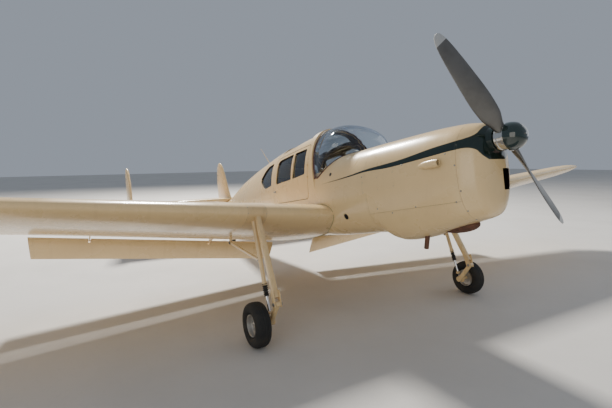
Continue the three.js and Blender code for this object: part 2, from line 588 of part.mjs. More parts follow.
// Propeller: blade sections stand across a radius, turned by the pitch
const BLADE = [
  // radius, chord, thickness, pitch in degrees
  [60, 74, 62, 62], [130, 96, 50, 56], [230, 150, 34, 46], [400, 168, 23, 34], [600, 156, 17, 25],
  [780, 132, 12, 20], [900, 100, 9, 17], [950, 62, 7, 16], [965, 22, 5, 16],
];
function blade(angle) {
  const out = v(0, Math.sin(angle), Math.cos(angle));
  const axis = v(1, 0, 0);
  const across = axis.clone().cross(out);
  const stations = [60, 130, 230, 340, 500, 700, 850, 920, 953, 965];
  return solid(loft(stations.map(radius => {
    const [chord, thickness, pitch] = rowAt(BLADE, radius);
    const turn = THREE.MathUtils.degToRad(pitch);
    const aft = across.clone().multiplyScalar(Math.cos(turn)).addScaledVector(axis, -Math.sin(turn));
    const face = across.clone().multiplyScalar(Math.sin(turn)).addScaledVector(axis, Math.cos(turn));
    const centre = v(PROP.plane, 0, THRUST).addScaledVector(out, radius);
    return Array.from({ length: 10 }, (_, i) => {
      const a = 2 * Math.PI * i / 10;
      return centre.clone().addScaledVector(aft, chord / 2 * Math.cos(a))
        .addScaledVector(face, thickness / 2 * Math.sin(a) * (Math.sin(a) > 0 ? 1.2 : 0.7));
    });
  })));
}
const lean = THREE.MathUtils.degToRad(PROP.lean);
const hub = turned([[0, 0], [PROP.hubRadius, 0], [PROP.hubRadius, 70],
  [PROP.hubRadius - 8, PROP.hubFront - PROP.hubRear], [0, PROP.hubFront - PROP.hubRear]],
v(PROP.hubRear, 0, THRUST), v(1, 0, 0), 28);
const spinnerRoom = bar(v(PROP.hubFront, 0, THRUST), v(SPINNER.front, 0, THRUST), SPINNER.radius + 2, 28);
add('propeller', cut(join(hub, blade(lean), blade(lean + Math.PI)), spinnerRoom), 'blade');
const domeProfile = range(0, 90, 6).map(deg => {
  const a = THREE.MathUtils.degToRad(deg);
  return [SPINNER.radius * Math.cos(a) ** 0.8, (SPINNER.front - PROP.hubFront - SEAT) * Math.sin(a)];
});
domeProfile[domeProfile.length - 1][0] = 0;
add('spinner', turned([[0, 0], ...domeProfile], v(PROP.hubFront + SEAT, 0, THRUST), v(1, 0, 0), 28), 'green');

// Wings with ailerons and flaps
const onWing = (y, back) => {
  const [lead, trail] = wingEdges(y);
  const along = trail.clone().sub(lead).normalize();
  return { trail, hinge: trail.clone().addScaledVector(along, -back), along };
};
const aileronEnd = y => {
  const { trail, hinge } = onWing(y, AILERON.chord);
  return { hinge: hinge.setZ(hinge.z + 12), trail, half: y < 4000 ? 47 : 39 };
};
const aileron = surface([aileronEnd(AILERON.from), aileronEnd(AILERON.to)], v(0, 0, 1),
  [{ at: 0.15, reach: 70 }, { at: 0.85, reach: 70 }]);

const droop = THREE.MathUtils.degToRad(FLAP.droop);
const flapLead = y => {
  const { trail } = onWing(y, 0);
  return trail.add(v(-18, 0, -FLAP.below));
};
const flapBack = v(-Math.cos(droop), 0, -Math.sin(droop));
const flapUp = v(-Math.sin(droop), 0, Math.cos(droop));
const flapHinge = y => flapLead(y).addScaledVector(flapBack, FLAP.hinge);
let flap = solid(loft([FLAP.from, FLAP.to].map(y => {
  const lead = flapLead(y);
  return foilRing(lead, lead.clone().addScaledVector(flapBack, FLAP.chord), flapUp, 0.13, 0);
})));
const flapLine = flapHinge(FLAP.to).sub(flapHinge(FLAP.from)).normalize();
const flapArms = FLAP.brackets.map(y => {
  const hinge = flapHinge(y);
  flap = cut(flap, plank(hinge, flapBack, flapLine, flapUp, [-60, 24], SLOT_HALF, 60));
  const root = onWing(y, 150).hinge;
  const armShape = [[hinge.x - 9, hinge.z - 9], [hinge.x + 16, hinge.z - 12], [root.x + 60, root.z - 14],
    [root.x - 70, root.z + 2], [hinge.x - 9, hinge.z + 12]];
  const arm = new THREE.Shape(armShape.map(([x, z]) => new THREE.Vector2(x, z)));
  return join(sidePlate(arm, y - ARM_HALF, y + ARM_HALF), hingePin(hinge, flapLine, 6));
});
const wing = join(cut(wingSolid(), bodyGrown, aileron.room), ...aileron.arms, ...flapArms);
addPair('wing', wing, 'paint');
addPair('aileron', aileron.blade, 'paint');
addPair('flap', flap, 'paint');

// Tail: tailplane, elevator halves, fins and rudders
const elevatorEnd = (y, trailX) => ({ hinge: v(TAIL.hinge, y, TAIL.z), trail: v(trailX, y, TAIL.z), half: 32 });
const elevator = surface([elevatorEnd(132, TAIL.trail), elevatorEnd(1850, TAIL.trail)], v(0, 0, 1),
  [{ at: 0.1, reach: 60 }, { at: 0.8, reach: 60 }]);
const tipBevel = planPlate([[-5040, 1900], [-5110, 1846], [-5500, 1610], [-5500, 1900]], 1500, 1900);
const elevatorHalf = cut(elevator.blade, tipBevel);

const END_FIN = [
  // z, leading edge, trailing edge
  [1182, -5010, -5130], [1200, -4940, -5200], [1245, -4860, -5280], [1350, -4760, -5352], [1550, -4685, -5402],
  [1800, -4675, -5420], [2050, -4745, -5414], [2250, -4862, -5372], [2370, -4958, -5310], [2425, -5030, -5255],
  [2445, -5100, -5185],
];
const CENTRE_FIN = [
  [1690, -4545, -5385], [1900, -4690, -5412], [2100, -4790, -5414], [2300, -4900, -5380], [2430, -4985, -5325],
  [2505, -5058, -5260], [2532, -5120, -5190],
];
const finSolid = (table, stations, y, half) => solid(loft(stations.map(z => {
  const [lead, trail] = rowAt(table, z);
  const ratio = half * 2 / Math.max(lead - trail, 420);
  return foilRing(v(lead, y, z), v(trail, y, z), v(0, 1, 0), ratio, 0);
})));
const endFinStations = [1182, 1200, 1255, 1380, 1600, 1860, 2120, 2300, 2395, 2445];
const endFinWhole = finSolid(END_FIN, endFinStations, FIN_Y, 36);
const rudderEnd = z => ({ hinge: v(RUDDER_HINGE, FIN_Y, z), trail: v(-5470, FIN_Y, z), half: 27 });
const rudder = surface([rudderEnd(1240), rudderEnd(2385)], v(0, 1, 0),
  [{ at: 0.14, reach: 90 }, { at: 0.8, reach: 90 }]);
const rudderPost = bar(v(RUDDER_HINGE, FIN_Y, 1150), v(RUDDER_HINGE, FIN_Y, 2480), 26);
const rudderBlade = rudder.blade.intersect(join(endFinWhole, rudderPost))
  .intersect(box(v(-6000, 1800, 1240), v(-5000, 2100, 2385)));
const elevatorTipRoom = box(v(-5600, 1800, 1500), v(TAIL.hinge - 40, FIN_Y - 46, 1900));
const tailplane = join(cut(tailplaneWhole(), bothSides(elevator.room), bodyGrown, bothSides(rudder.room),
  bothSides(box(v(-5600, 1700, 1500), v(TAIL.hinge - 30, 1960, 1900)))),
...elevator.arms, ...elevator.arms.map(mirroredSolid));
add('tailplane', tailplane, 'paint');
addPair('elevator', elevatorHalf, 'paint');
const tailplaneGrown = tailplaneWhole(SEAT);
const endFin = cut(endFinWhole, rudder.room, tailplaneGrown, elevatorTipRoom);
addPair('end_fin', join(endFin, ...rudder.arms), 'paint');
addPair('rudder', rudderBlade, 'paint');
const centreStations = [1690, 1900, 2160, 2330, 2440, 2505, 2532];
add('centre_fin', cut(finSolid(CENTRE_FIN, centreStations, 0, 40), tailplaneGrown, bodyGrown), 'paint');

// Main gear, port side; the parked attitude fixes its points
const wheelCentre = parked(0, WHEEL.track / 2, WHEEL.radius);
const gear = (forward, up, y = LEG_Y) => parked(forward, y, up);
const knuckle = gear(146, 427);
const legTop = gear(-358, 1192, 1293);
const armEnd = parked(0, LEG_Y, WHEEL.radius);
const wingUnder = wingSolid(SEAT);
const side = v(0, 1, 0);
const across = (p, half) => [p.clone().addScaledVector(side, -half), p.clone().addScaledVector(side, half)];
const KNEE = { pin: 13, cheekAt: 31 };
const forkCheeks = [-KNEE.cheekAt, KNEE.cheekAt].map(offset =>
  forging(gear(96, 545, LEG_Y + offset), gear(149, 398, LEG_Y + offset), [34, 7], [26, 7]));
const leg = join(cut(forging(legTop, gear(118, 478), [37, 27], [31, 27]), wingUnder), ...forkCheeks,
  bar(...across(knuckle, 44), KNEE.pin));
addPair('main_leg', leg, 'paint');

const axleTip = v(armEnd.x, WHEEL.track / 2 + HUB_DEPTH - SEAT, armEnd.z);
const brakePlate = bar(v(armEnd.x, armEnd.y + 25, armEnd.z), v(armEnd.x, armEnd.y + 36, armEnd.z), 46);
const armWhole = join(bar(...across(knuckle, 22), 27), forging(knuckle, armEnd, [22, 20], [26, 22]),
  bar(...across(armEnd, 30), 34), bar(armEnd, axleTip, WHEEL.axle), brakePlate);
addPair('trailing_arm', cut(armWhole, bar(...across(knuckle, 60), KNEE.pin + SEAT)), 'paint');

const strutFoot = gear(-32, 290);
const strutTop = gear(-385, 1138, 1322);
const strutAt = share => strutFoot.clone().lerp(strutTop, share);
const STRUT = { piston: 14, gland: 28, tube: 22 };
const strutWhole = join(bar(strutFoot, strutAt(0.23), STRUT.piston),
  bar(strutAt(0.19), strutAt(0.271), STRUT.gland), bar(strutAt(0.255), strutTop, STRUT.tube),
  bar(...across(strutFoot, 20), 17));
const armRoom = join(forging(knuckle, armEnd, [22 + SEAT, 20 + SEAT], [26 + SEAT, 22 + SEAT]),
  bar(...across(armEnd, 31), 34 + SEAT));
addPair('shock_strut', cut(strutWhole, wingUnder, armRoom), 'paint');
const braceFront = gear(-250, 755, 1324);
const braceEnd = gear(-1090, 790);
const brace = join(forging(braceFront, braceEnd, [17, 10], [15, 9]), bar(...across(braceFront, 16), 20),
  bar(...across(braceEnd, 14), 18), forging(braceEnd, gear(-1075, 960), [16, 12], [34, 12]));
addPair('drag_brace', cut(brace, wingUnder, bar(strutFoot, strutTop, STRUT.tube + SEAT)), 'paint');

const rimHalf = WHEEL.width / 2 - 18;
const wheelBore = WHEEL.axle + 2 * SEAT;
const wheelProfile = [[0, 30], [34, 30], [52, 22], [78, 20], [WHEEL.rim - 8, rimHalf], [WHEEL.rim, rimHalf],
  [WHEEL.rim, -rimHalf], [WHEEL.rim - 10, -rimHalf], [80, -34], [40, -36], [wheelBore, -36],
  [wheelBore, HUB_DEPTH], [0, HUB_DEPTH]];
// Wheels stand on the middle of one of their facets
const standing = sides => PARKED_PITCH + Math.PI / sides;
const wheelAt = (profile, segments) => turned(profile, wheelCentre, side, segments, standing(segments));
const axleClear = -(WHEEL.track / 2 - LEG_Y) + 36 + SEAT;
const wheelSolid = wheelAt(wheelProfile.map(([r, d]) => [r, d < 0 ? Math.max(d, axleClear) : d]), TYRE_SIDES);
addPair('main_wheel', wheelSolid, 'alloy');
const blunt = (value, power) => Math.sign(value) * Math.abs(value) ** power;
const tyreProfile = range(0, 360, 10).map(deg => {
  const a = THREE.MathUtils.degToRad(deg);
  const middle = (WHEEL.radius + WHEEL.rim + SEAT) / 2;
  const reach = (WHEEL.radius - WHEEL.rim - SEAT) / 2;
  return [middle + reach * blunt(Math.cos(a), 0.8), WHEEL.width / 2 * blunt(Math.sin(a), 0.7)];
});
addPair('main_tyre', wheelAt(tyreProfile, TYRE_SIDES), 'tyre');

// Tail wheel: leg, castoring fork and wheel
const tailGround = parked(TAIL_WHEEL.station, 0, TAIL_WHEEL.radius);
const castorFoot = parked(TAIL_WHEEL.station + TAIL_WHEEL.trail, 0, 2 * TAIL_WHEEL.radius + 30);
const castorUp = parked(0, 0, 1).normalize();
const castorFront = parked(1, 0, 0).normalize();
const castorAt = height => castorFoot.clone().addScaledVector(castorUp, height);
const CASTOR = { pin: 16, housing: 34, head: 40, seat: 12, pinTop: 119, housingTop: 150 };
const tailLegTop = v(castorAt(CASTOR.housingTop).x + 150, 0, 1330);
const housing = cut(join(bar(castorAt(CASTOR.seat), castorAt(CASTOR.housingTop), CASTOR.housing),
  forging(castorAt(60), tailLegTop, [34, 26], [60, 34])),
bar(castorAt(-20), castorAt(CASTOR.pinTop + 1), boreFor(CASTOR.pin)));
add('tail_wheel_leg', cut(housing, bodyGrown), 'paint');
const halfFork = TAIL_WHEEL.width / 2 + 14;
const forkSides = [-halfFork, halfFork].map(offset => forging(castorFoot.clone().addScaledVector(side, offset),
  tailGround.clone().addScaledVector(side, offset), [26, 6], [20, 6]));
const fork = join(bar(castorAt(-CASTOR.seat), castorAt(CASTOR.seat - SEAT), CASTOR.head),
  bar(castorFoot, castorAt(CASTOR.pinTop), CASTOR.pin),
  plank(castorFoot, side, castorFront, castorUp, [-halfFork - 6, halfFork + 6], 30, 11),
  ...forkSides, bar(...across(tailGround, halfFork + 10), 11));
add('tail_wheel_fork', fork, 'paint');
const tailProfile = [[11 + SEAT, -22], [55, -24], [92, -35], [118, -22], [125, 0],
  [118, 22], [92, 35], [55, 24], [11 + SEAT, 22], [11 + SEAT, -22]];
add('tail_wheel', turned(tailProfile, tailGround, side, 20, standing(20)), 'tyre');

add('whip_aerial', cut(bar(v(-2468, 0, 2060), v(-2823, 0, 2413), 7, ROUND, 3), bodyGrown), 'alloy');

airframe.rotation.y = -PARKED_PITCH;
const group = new THREE.Group();
group.add(airframe);
group.updateMatrixWorld(true);
const bounds = new THREE.Box3().setFromObject(group, true);
group.position.set(-(bounds.min.x + bounds.max.x) / 2, -(bounds.min.y + bounds.max.y) / 2, -bounds.min.z);

export default group;
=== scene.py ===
# Light liaison aircraft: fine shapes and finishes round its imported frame.
import json
import math
import bmesh
import bpy
import numpy as np
from mathutils import Matrix, Vector


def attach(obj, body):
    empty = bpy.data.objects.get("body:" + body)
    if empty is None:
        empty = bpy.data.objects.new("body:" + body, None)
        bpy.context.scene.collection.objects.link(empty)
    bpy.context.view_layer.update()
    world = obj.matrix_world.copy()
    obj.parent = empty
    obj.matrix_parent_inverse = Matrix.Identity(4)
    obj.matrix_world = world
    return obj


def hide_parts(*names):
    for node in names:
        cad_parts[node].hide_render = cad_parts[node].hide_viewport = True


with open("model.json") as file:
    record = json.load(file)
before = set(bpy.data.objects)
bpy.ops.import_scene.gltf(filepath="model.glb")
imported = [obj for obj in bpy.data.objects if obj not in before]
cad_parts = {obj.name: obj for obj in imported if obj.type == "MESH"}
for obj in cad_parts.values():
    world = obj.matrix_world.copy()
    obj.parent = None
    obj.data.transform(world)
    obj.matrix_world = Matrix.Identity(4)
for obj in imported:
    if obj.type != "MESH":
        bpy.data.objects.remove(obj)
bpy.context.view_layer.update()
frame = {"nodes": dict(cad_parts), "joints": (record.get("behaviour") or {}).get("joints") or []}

print("frame loaded")

# Shapes are drawn in the aircraft's own datum, in millimetres: x forward, y to port, z up
craft = dict(pitch=9.0, firewall=517, bowlJoint=1480, cabinRear=-2130, floor=1140, wall=40, skin=12,
             hoopFoot=(-374, 1590), hoopTop=(-485, 2230), thrust=1642, propPlane=1733, sides=96, seam=1.6,
             noseTip=1645, deckRear=-460, roofFront=-250, tailEnd=-5390,
             innerFront=477, innerDeckRear=-520, innerRear=-2090)
sideRows = [  # x, half width, bottom, widest height, lower power
    [1645, 100, 1150, 1478, 2.2], [1628, 160, 1100, 1470, 2.3], [1580, 224, 1048, 1462, 2.5],
    [1415, 302, 1006, 1445, 2.7], [1100, 352, 930, 1430, 2.9], [727, 402, 863, 1425, 3.0],
    [640, 414, 882, 1425, 3.0], [575, 424, 920, 1425, 3.0], [517, 432, 939, 1425, 3.0],
    [400, 442, 941, 1425, 3.0], [-300, 476, 918, 1430, 3.2], [-1000, 484, 915, 1430, 3.0],
    [-1950, 440, 955, 1420, 2.7], [-3000, 330, 1030, 1410, 2.5], [-4200, 180, 1160, 1430, 2.3],
    [-5000, 84, 1270, 1450, 2.2], [-5390, 34, 1330, 1460, 2.0]]
deckRows = [  # x, top, upper power
    [1645, 1728, 2.0], [1628, 1752, 2.1], [1580, 1792, 2.2], [1415, 1822, 2.4], [1100, 1838, 2.5],
    [450, 1844, 2.5], [-460, 1844, 2.5]]
roofRows = [  # x, top, upper power
    [-300, 2226, 2.6], [-485, 2228, 2.6], [-1100, 2188, 2.6], [-1700, 2150, 2.4], [-2400, 2088, 2.0],
    [-3470, 1926, 1.9], [-4530, 1664, 2.0], [-5000, 1606, 2.0], [-5390, 1560, 2.0]]
bubbleRows = [  # x, half width, top, height of the widest line
    [66, 60, 1925, 1895], [60, 184, 1958, 1930], [50, 253, 2004, 1938], [11, 354, 2086, 1929],
    [-42, 409, 2138, 1913], [-95, 435, 2169, 1868], [-148, 447, 2190, 1803], [-254, 453, 2212, 1676],
    [-330, 454, 2219, 1590], [-560, 455, 2222, 1577]]
keyStations = [craft["tailEnd"], craft["cabinRear"], craft["innerRear"], craft["innerDeckRear"],
               craft["deckRear"], -380, craft["roofFront"], craft["innerFront"], craft["firewall"], 1460,
               craft["bowlJoint"], 1500, 1633, craft["noseTip"]]
stations = np.unique(np.round(np.concatenate([
    np.linspace(craft["tailEnd"], 1400, 110), craft["noseTip"] - 245 * np.linspace(1, 0, 15) ** 1.8,
    keyStations]), 1))

pitch = math.radians(craft["pitch"])
cosPitch, sinPitch = math.cos(pitch), math.sin(pitch)


def pitched(points):
    # datum millimetres turned nose-up, in metres
    p = np.asarray(points, float)
    return np.stack([p[..., 0] * cosPitch - p[..., 2] * sinPitch, p[..., 1],
                     p[..., 0] * sinPitch + p[..., 2] * cosPitch], -1) / 1000


propJoint = next(j for j in frame["joints"] if j["name"] == "propeller_spin")
shift = np.array(propJoint["pos_m"]) - pitched([craft["propPlane"], 0, craft["thrust"]])


def parked(forward, y, up):
    # a point given forward and above the ground, seen in the datum
    return np.array([forward * cosPitch + up * sinPitch, y, -forward * sinPitch + up * cosPitch])


def unit(v):
    v = np.asarray(v, float)
    return v / np.linalg.norm(v)


def unitRows(v):
    return v / np.linalg.norm(v, axis=-1, keepdims=True)


def bent(v, power):
    # a sine or cosine raised to a power, with its sign kept
    return np.sign(v) * np.abs(v) ** power


def roundAngles(sides):
    return np.linspace(0, 2 * np.pi, sides, endpoint=False)


def spotsRound(centre, radius, count, turn, a, b):
    # places evenly round a centre, from the turn in steps, in the plane of two directions
    angle = 2 * math.pi * (np.arange(count) + turn) / count
    return centre + radius * (np.cos(angle)[:, None] * np.array(a) + np.sin(angle)[:, None] * np.array(b))


def alongRows(table, x):
    # a table's other columns at x: cubic pieces whose slopes are harmonic means, so nothing overshoots
    rows = np.array(sorted(table), float)
    x = np.clip(np.atleast_1d(np.asarray(x, float)), rows[0, 0], rows[-1, 0])
    step = np.diff(rows[:, 0])
    slope = np.diff(rows[:, 1:], axis=0) / step[:, None]
    a, b = slope[:-1], slope[1:]
    with np.errstate(divide="ignore", invalid="ignore"):
        inner = np.where(a * b > 0, 2 * a * b / (a + b), 0)
    tangent = np.vstack([slope[:1], inner, slope[-1:]])
    k = np.clip(np.searchsorted(rows[:, 0], x, side="right") - 1, 0, len(step) - 1)
    h = step[k][:, None]
    t = ((x - rows[k, 0]) / step[k])[:, None]
    return (rows[k, 1:] * (1 + 2 * t) * (1 - t) ** 2 + tangent[k] * h * t * (1 - t) ** 2
            + rows[k + 1, 1:] * t * t * (3 - 2 * t) + tangent[k + 1] * h * t * t * (t - 1))


# Meshes from arrays
def gridQuads(rows, columns):
    # quads between neighbouring rows of a grid, each row closed on itself
    r = np.arange(rows - 1)[:, None]
    c = np.arange(columns)[None, :]
    a = r * columns + c
    b = r * columns + (c + 1) % columns
    return np.stack([a, b, b + columns, a + columns], -1).reshape(-1, 4)


def placed(name, data):
    made = bpy.data.objects.new(name, data)
    bpy.context.scene.collection.objects.link(made)
    return made


def settled(made):
    # the object's mesh with its modifiers worked in
    bpy.context.view_layer.update()
    mesh = bpy.data.meshes.new_from_object(made.evaluated_get(bpy.context.evaluated_depsgraph_get()))
    made.modifiers.clear()
    made.data = mesh
    return mesh


def coordinates(mesh):
    co = np.zeros(len(mesh.vertices) * 3)
    mesh.vertices.foreach_get("co", co)
    return co.reshape(-1, 3)


def makeObject(name, points, faces, weld=2e-5):
    # datum points to a mesh in the row frame, with doubles merged and the faces turned outwards
    mesh = bpy.data.meshes.new(name)
    mesh.from_pydata((pitched(points) + shift).tolist(), [], faces)
    work = bmesh.new()
    work.from_mesh(mesh)
    bmesh.ops.remove_doubles(work, verts=work.verts, dist=weld)
    bmesh.ops.recalc_face_normals(work, faces=work.faces)
    if work.calc_volume(signed=True) < 0:
        bmesh.ops.reverse_faces(work, faces=work.faces)
    work.to_mesh(mesh)
    work.free()
    return placed(name, mesh)


def loft(name, rings):
    # a closed skin over rings of equal point count, flat at both ends
    rings = np.asarray(rings, float)
    n, m = rings.shape[:2]
    caps = [list(range(m))[::-1], list(range((n - 1) * m, n * m))]
    return makeObject(name, rings.reshape(-1, 3), gridQuads(n, m).tolist() + caps)


def ringLoop(name, rings):
    # a ring of rings, such as a tyre or a bent rail that closes on itself
    rings = np.asarray(rings, float)
    n, m = rings.shape[:2]
    quads = gridQuads(n + 1, m) % (n * m)
    return makeObject(name, rings.reshape(-1, 3), quads.tolist())


def frameOf(axis):
    # two directions square to an axis and to each other
    axis = unit(axis)
    helper = np.array([0, 0, 1.0]) if abs(axis[2]) < 0.9 else np.array([1.0, 0, 0])
    a = unit(np.cross(helper, axis))
    return a, np.cross(axis, a)


def turned(name, profile, centre, axis, sides=64):
    # profile of (radius, distance along the axis) swept once round the axis
    a, b = frameOf(axis)
    profile = np.asarray(profile, float)
    angle = roundAngles(sides)
    circle = np.cos(angle)[:, None] * a + np.sin(angle)[:, None] * b
    rings = (np.asarray(centre, float) + profile[:, 1][:, None, None] * unit(axis)
             + profile[:, 0][:, None, None] * circle[None])
    closes = np.allclose(profile[0], profile[-1])
    if closes:
        return ringLoop(name, rings[:-1])
    return loft(name, rings)


def bar(name, start, end, radius, endRadius=None, sides=32):
    # a round bar or cone with softened rims
    start, end = np.asarray(start, float), np.asarray(end, float)
    length = np.linalg.norm(end - start)
    r0, r1 = radius, radius if endRadius is None else endRadius
    soft = min(1.5, 0.12 * min(max(r0, 0.5), max(r1, 0.5)), length * 0.2)
    return turned(name, [(r0 - soft, 0), (r0, soft), (r1, length - soft), (r1 - soft, length)],
                  start, end - start, sides)


def forging(name, start, end, startHalf, endHalf, sides=40, rings=9, power=0.5):
    # rounded oblong sections between two points; half sizes are (fore and aft, side to side)
    start, end = np.asarray(start, float), np.asarray(end, float)
    along = unit(end - start)
    side = np.array([0, 1.0, 0])
    front = unit(np.cross(side, along))
    angle = roundAngles(sides)
    c, s = bent(np.cos(angle), power), bent(np.sin(angle), power)
    t = np.linspace(0, 1, rings)[:, None]
    halves = np.array(startHalf) * (1 - t) + np.array(endHalf) * t
    centres = start * (1 - t) + end * t
    return loft(name, centres[:, None] + (halves[:, 0][:, None] * c)[..., None] * front
                + (halves[:, 1][:, None] * s)[..., None] * side)


def pipe(name, points, radius, sides=16):
    # a round tube along points, its section carried along without twist
    p = np.asarray(points, float)
    radius = np.broadcast_to(np.asarray(radius, float), (len(p),))
    tangent = unitRows(np.gradient(p, axis=0))
    a = frameOf(tangent[0])[0]
    angle = roundAngles(sides)
    rings = []
    for centre, t, r in zip(p, tangent, radius):
        a = unit(a - t * (a @ t))
        b = np.cross(t, a)
        rings.append(centre + r * (np.cos(angle)[:, None] * a + np.sin(angle)[:, None] * b))
    return loft(name, rings)


def prism(name, outline, y0, y1):
    # a side-view outline of (x, z) carried from y0 to y1
    outline = np.asarray(outline, float)
    rings = [np.stack([outline[:, 0], np.full(len(outline), y), outline[:, 1]], -1) for y in (y0, y1)]
    return loft(name, rings)


def brick(name, low, high):
    outline = [(low[0], low[2]), (high[0], low[2]), (high[0], high[2]), (low[0], high[2])]
    return prism(name, outline, low[1], high[1])


def ellipsoid(name, centre, sizes, rows=24, columns=48):
    # sphere of unit radius stretched to three half sizes
    v = np.linspace(0.02, np.pi - 0.02, rows)[:, None]
    u = roundAngles(columns)[None, :]
    ball = np.stack([np.sin(v) * np.cos(u), np.sin(v) * np.sin(u), np.cos(v) + 0 * u], -1)
    return loft(name, np.asarray(centre, float) + ball * np.asarray(sizes, float))


def roundedOutline(corners, steps=10):
    # corners of (x, z, radius), each rounded by a parabola between its tangent points
    points = []
    c = np.array([k[:2] for k in corners], float)
    t = np.linspace(0, 1, steps)[:, None]
    for i, (_, _, radius) in enumerate(corners):
        here = c[i]
        start = here + unit(c[i - 1] - here) * radius
        end = here + unit(c[(i + 1) % len(c)] - here) * radius
        points.append(start * (1 - t) ** 2 + here * 2 * t * (1 - t) + end * t ** 2)
    return np.vstack(points)


def shrunk(outline, inset):
    middle = outline.mean(0)
    away = outline - middle
    far = np.linalg.norm(away, axis=1)[:, None]
    return middle + away * (far - inset) / far


def combine(target, others, operation="DIFFERENCE"):
    # joins, cuts or keeps what is shared, then drops the tools
    for other in others:
        step = target.modifiers.new("cut", "BOOLEAN")
        step.operation, step.object, step.solver = operation, other, "MANIFOLD"
    if len(settled(target).polygons) == 0:
        print("empty after", operation, target.name)
    for other in others:
        bpy.data.objects.remove(other)
    return target


def twin(source, name):
    return placed(name, source.data.copy())


def mirrorTwin(source, name):
    # the same mesh on the other side, its faces turned back outwards
    made = twin(source, name)
    made.data.vertices.foreach_set("co", (coordinates(made.data) * [1, -1, 1]).ravel())
    made.data.flip_normals()
    return made


def both(source):
    return [source, mirrorTwin(source, source.name + "Other")]


def dress(made, body, look, replaces=(), angle=32, slot=None):
    # smooth shading with sharp edges kept, then the finish and the body that it rides on; the slot is looked
    # up but not stored
    mesh = made.data
    mesh.polygons.foreach_set("use_smooth", np.ones(len(mesh.polygons), bool))
    mesh.set_sharp_from_angle(angle=math.radians(angle))
    mesh.materials.clear()
    mesh.materials.append(finish[look])
    slot = slot or slotOf[look]
    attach(made, body)
    if replaces:
        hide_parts(*replaces)
    return made


def dressPair(port, name, body, look, nodes=(), angle=32, slot=None):
    starboard = mirrorTwin(port, name + "Starboard")
    port.name = name + "Port"
    for made, side in ((port, "port"), (starboard, "starboard")):
        rides = body if body in ("airframe", "elevator") else f"{body}_{side}"
        dress(made, rides, look, [f"{n}_{side}" for n in nodes], angle, slot)
    return port, starboard


def joined(name, objects):
    # several solids in one piece, each keeping its own closed skin
    work = bmesh.new()
    for item in objects:
        work.from_mesh(item.data)
        bpy.data.objects.remove(item)
    mesh = bpy.data.meshes.new(name)
    work.to_mesh(mesh)
    work.free()
    return placed(name, mesh)


# Body surface
def bodyRings(tops, xs, grow=0.0):
    # superellipse sections: y = half width * cos^(2/p), z = height * sin^(2/p) about the widest line
    xs = np.asarray(xs, float)
    halfWidth, bottom, widest, lower = alongRows(sideRows, xs).T
    top, upper = alongRows(tops, xs).T
    angle = roundAngles(craft["sides"])
    c, s = np.cos(angle), np.sin(angle)
    power = np.where(s > 0, upper[:, None], lower[:, None])
    height = np.where(s > 0, (top - widest)[:, None], (widest - bottom)[:, None]) + grow
    y = (halfWidth[:, None] + grow) * bent(c, 2 / power)
    z = widest[:, None] + height * bent(s, 2 / power)
    return np.stack([np.broadcast_to(xs[:, None], y.shape), y, z], -1)


def bodySolid(name, tops, start, stop, grow=0.0):
    xs = np.unique(np.append(stations[(stations > start) & (stations < stop)], [start, stop]))
    return loft(name, bodyRings(tops, xs, grow))


def onSide(tops, x, z, lift=0.0):
    # port side point of the body at x and z, from the superellipse turned round for y
    x, z = np.broadcast_arrays(np.asarray(x, float), np.asarray(z, float))
    flat = x.ravel()
    halfWidth, bottom, widest, lower = alongRows(sideRows, flat).T
    top, upper = alongRows(tops, flat).T
    zf = z.ravel()
    power = np.where(zf > widest, upper, lower)
    share = np.where(zf > widest, (zf - widest) / (top - widest), (widest - zf) / (widest - bottom))
    y = (halfWidth + lift) * (1 - np.clip(share, 0, 0.999) ** power) ** (1 / power)
    return np.stack([flat, y, zf], -1).reshape(x.shape + (3,))


def sideNormal(tops, x, z):
    p = onSide(tops, x, z)
    ax = onSide(tops, x + 4, z) - onSide(tops, x - 4, z)
    az = onSide(tops, x, z + 4) - onSide(tops, x, z - 4)
    n = unit(np.cross(ax, az))
    return p, n if n[1] > 0 else -n


def skinPatch(name, tops, outline, lift=1.5, depth=3.0, rings=14):
    # a thin plate that follows the body's side: an outline filled in towards its middle, then given thickness
    outline = np.asarray(outline, float)
    middle = outline.mean(0)
    t = np.linspace(0.02, 1, rings)[:, None, None]
    flat = middle + (outline - middle)[None] * t
    outer = onSide(tops, flat[..., 0], flat[..., 1], lift)
    inner = onSide(tops, flat[..., 0], flat[..., 1], lift - depth)
    return loft(name, np.vstack([outer, inner[::-1]]))


# Shader building
def put(tree, kind, sockets=None, **settings):
    # a node with its settings, each socket linked from another one or else given a constant
    made = tree.nodes.new("ShaderNode" + kind)
    for key, value in settings.items():
        setattr(made, key, value)
    for key, value in (sockets or {}).items():
        if isinstance(value, bpy.types.NodeSocket):
            tree.links.new(value, made.inputs[key])
        else:
            made.inputs[key].default_value = value
    return made


def calc(tree, operation, a, b=0.0, clamp=False):
    return put(tree, "Math", {0: a, 1: b}, operation=operation, use_clamp=clamp).outputs[0]


def times(tree, a, b, clamp=False):
    return calc(tree, "MULTIPLY", a, b, clamp)


def plus(tree, a, b, clamp=False):
    return calc(tree, "ADD", a, b, clamp)


def minus(tree, a, b):
    return calc(tree, "SUBTRACT", a, b)


def ramp(tree, value, low, high, start=0.0, end=1.0):
    return put(tree, "MapRange", {0: value, 1: low, 2: high, 3: start, 4: end}).outputs[0]


def noise(tree, place, scale, detail, roughness=0.5):
    return put(tree, "TexNoise", {"Vector": place, "Scale": scale, "Detail": detail,
                                  "Roughness": roughness}).outputs[0]


def stretched(tree, place, scale):
    return put(tree, "Mapping", {"Vector": place, "Scale": scale}).outputs[0]


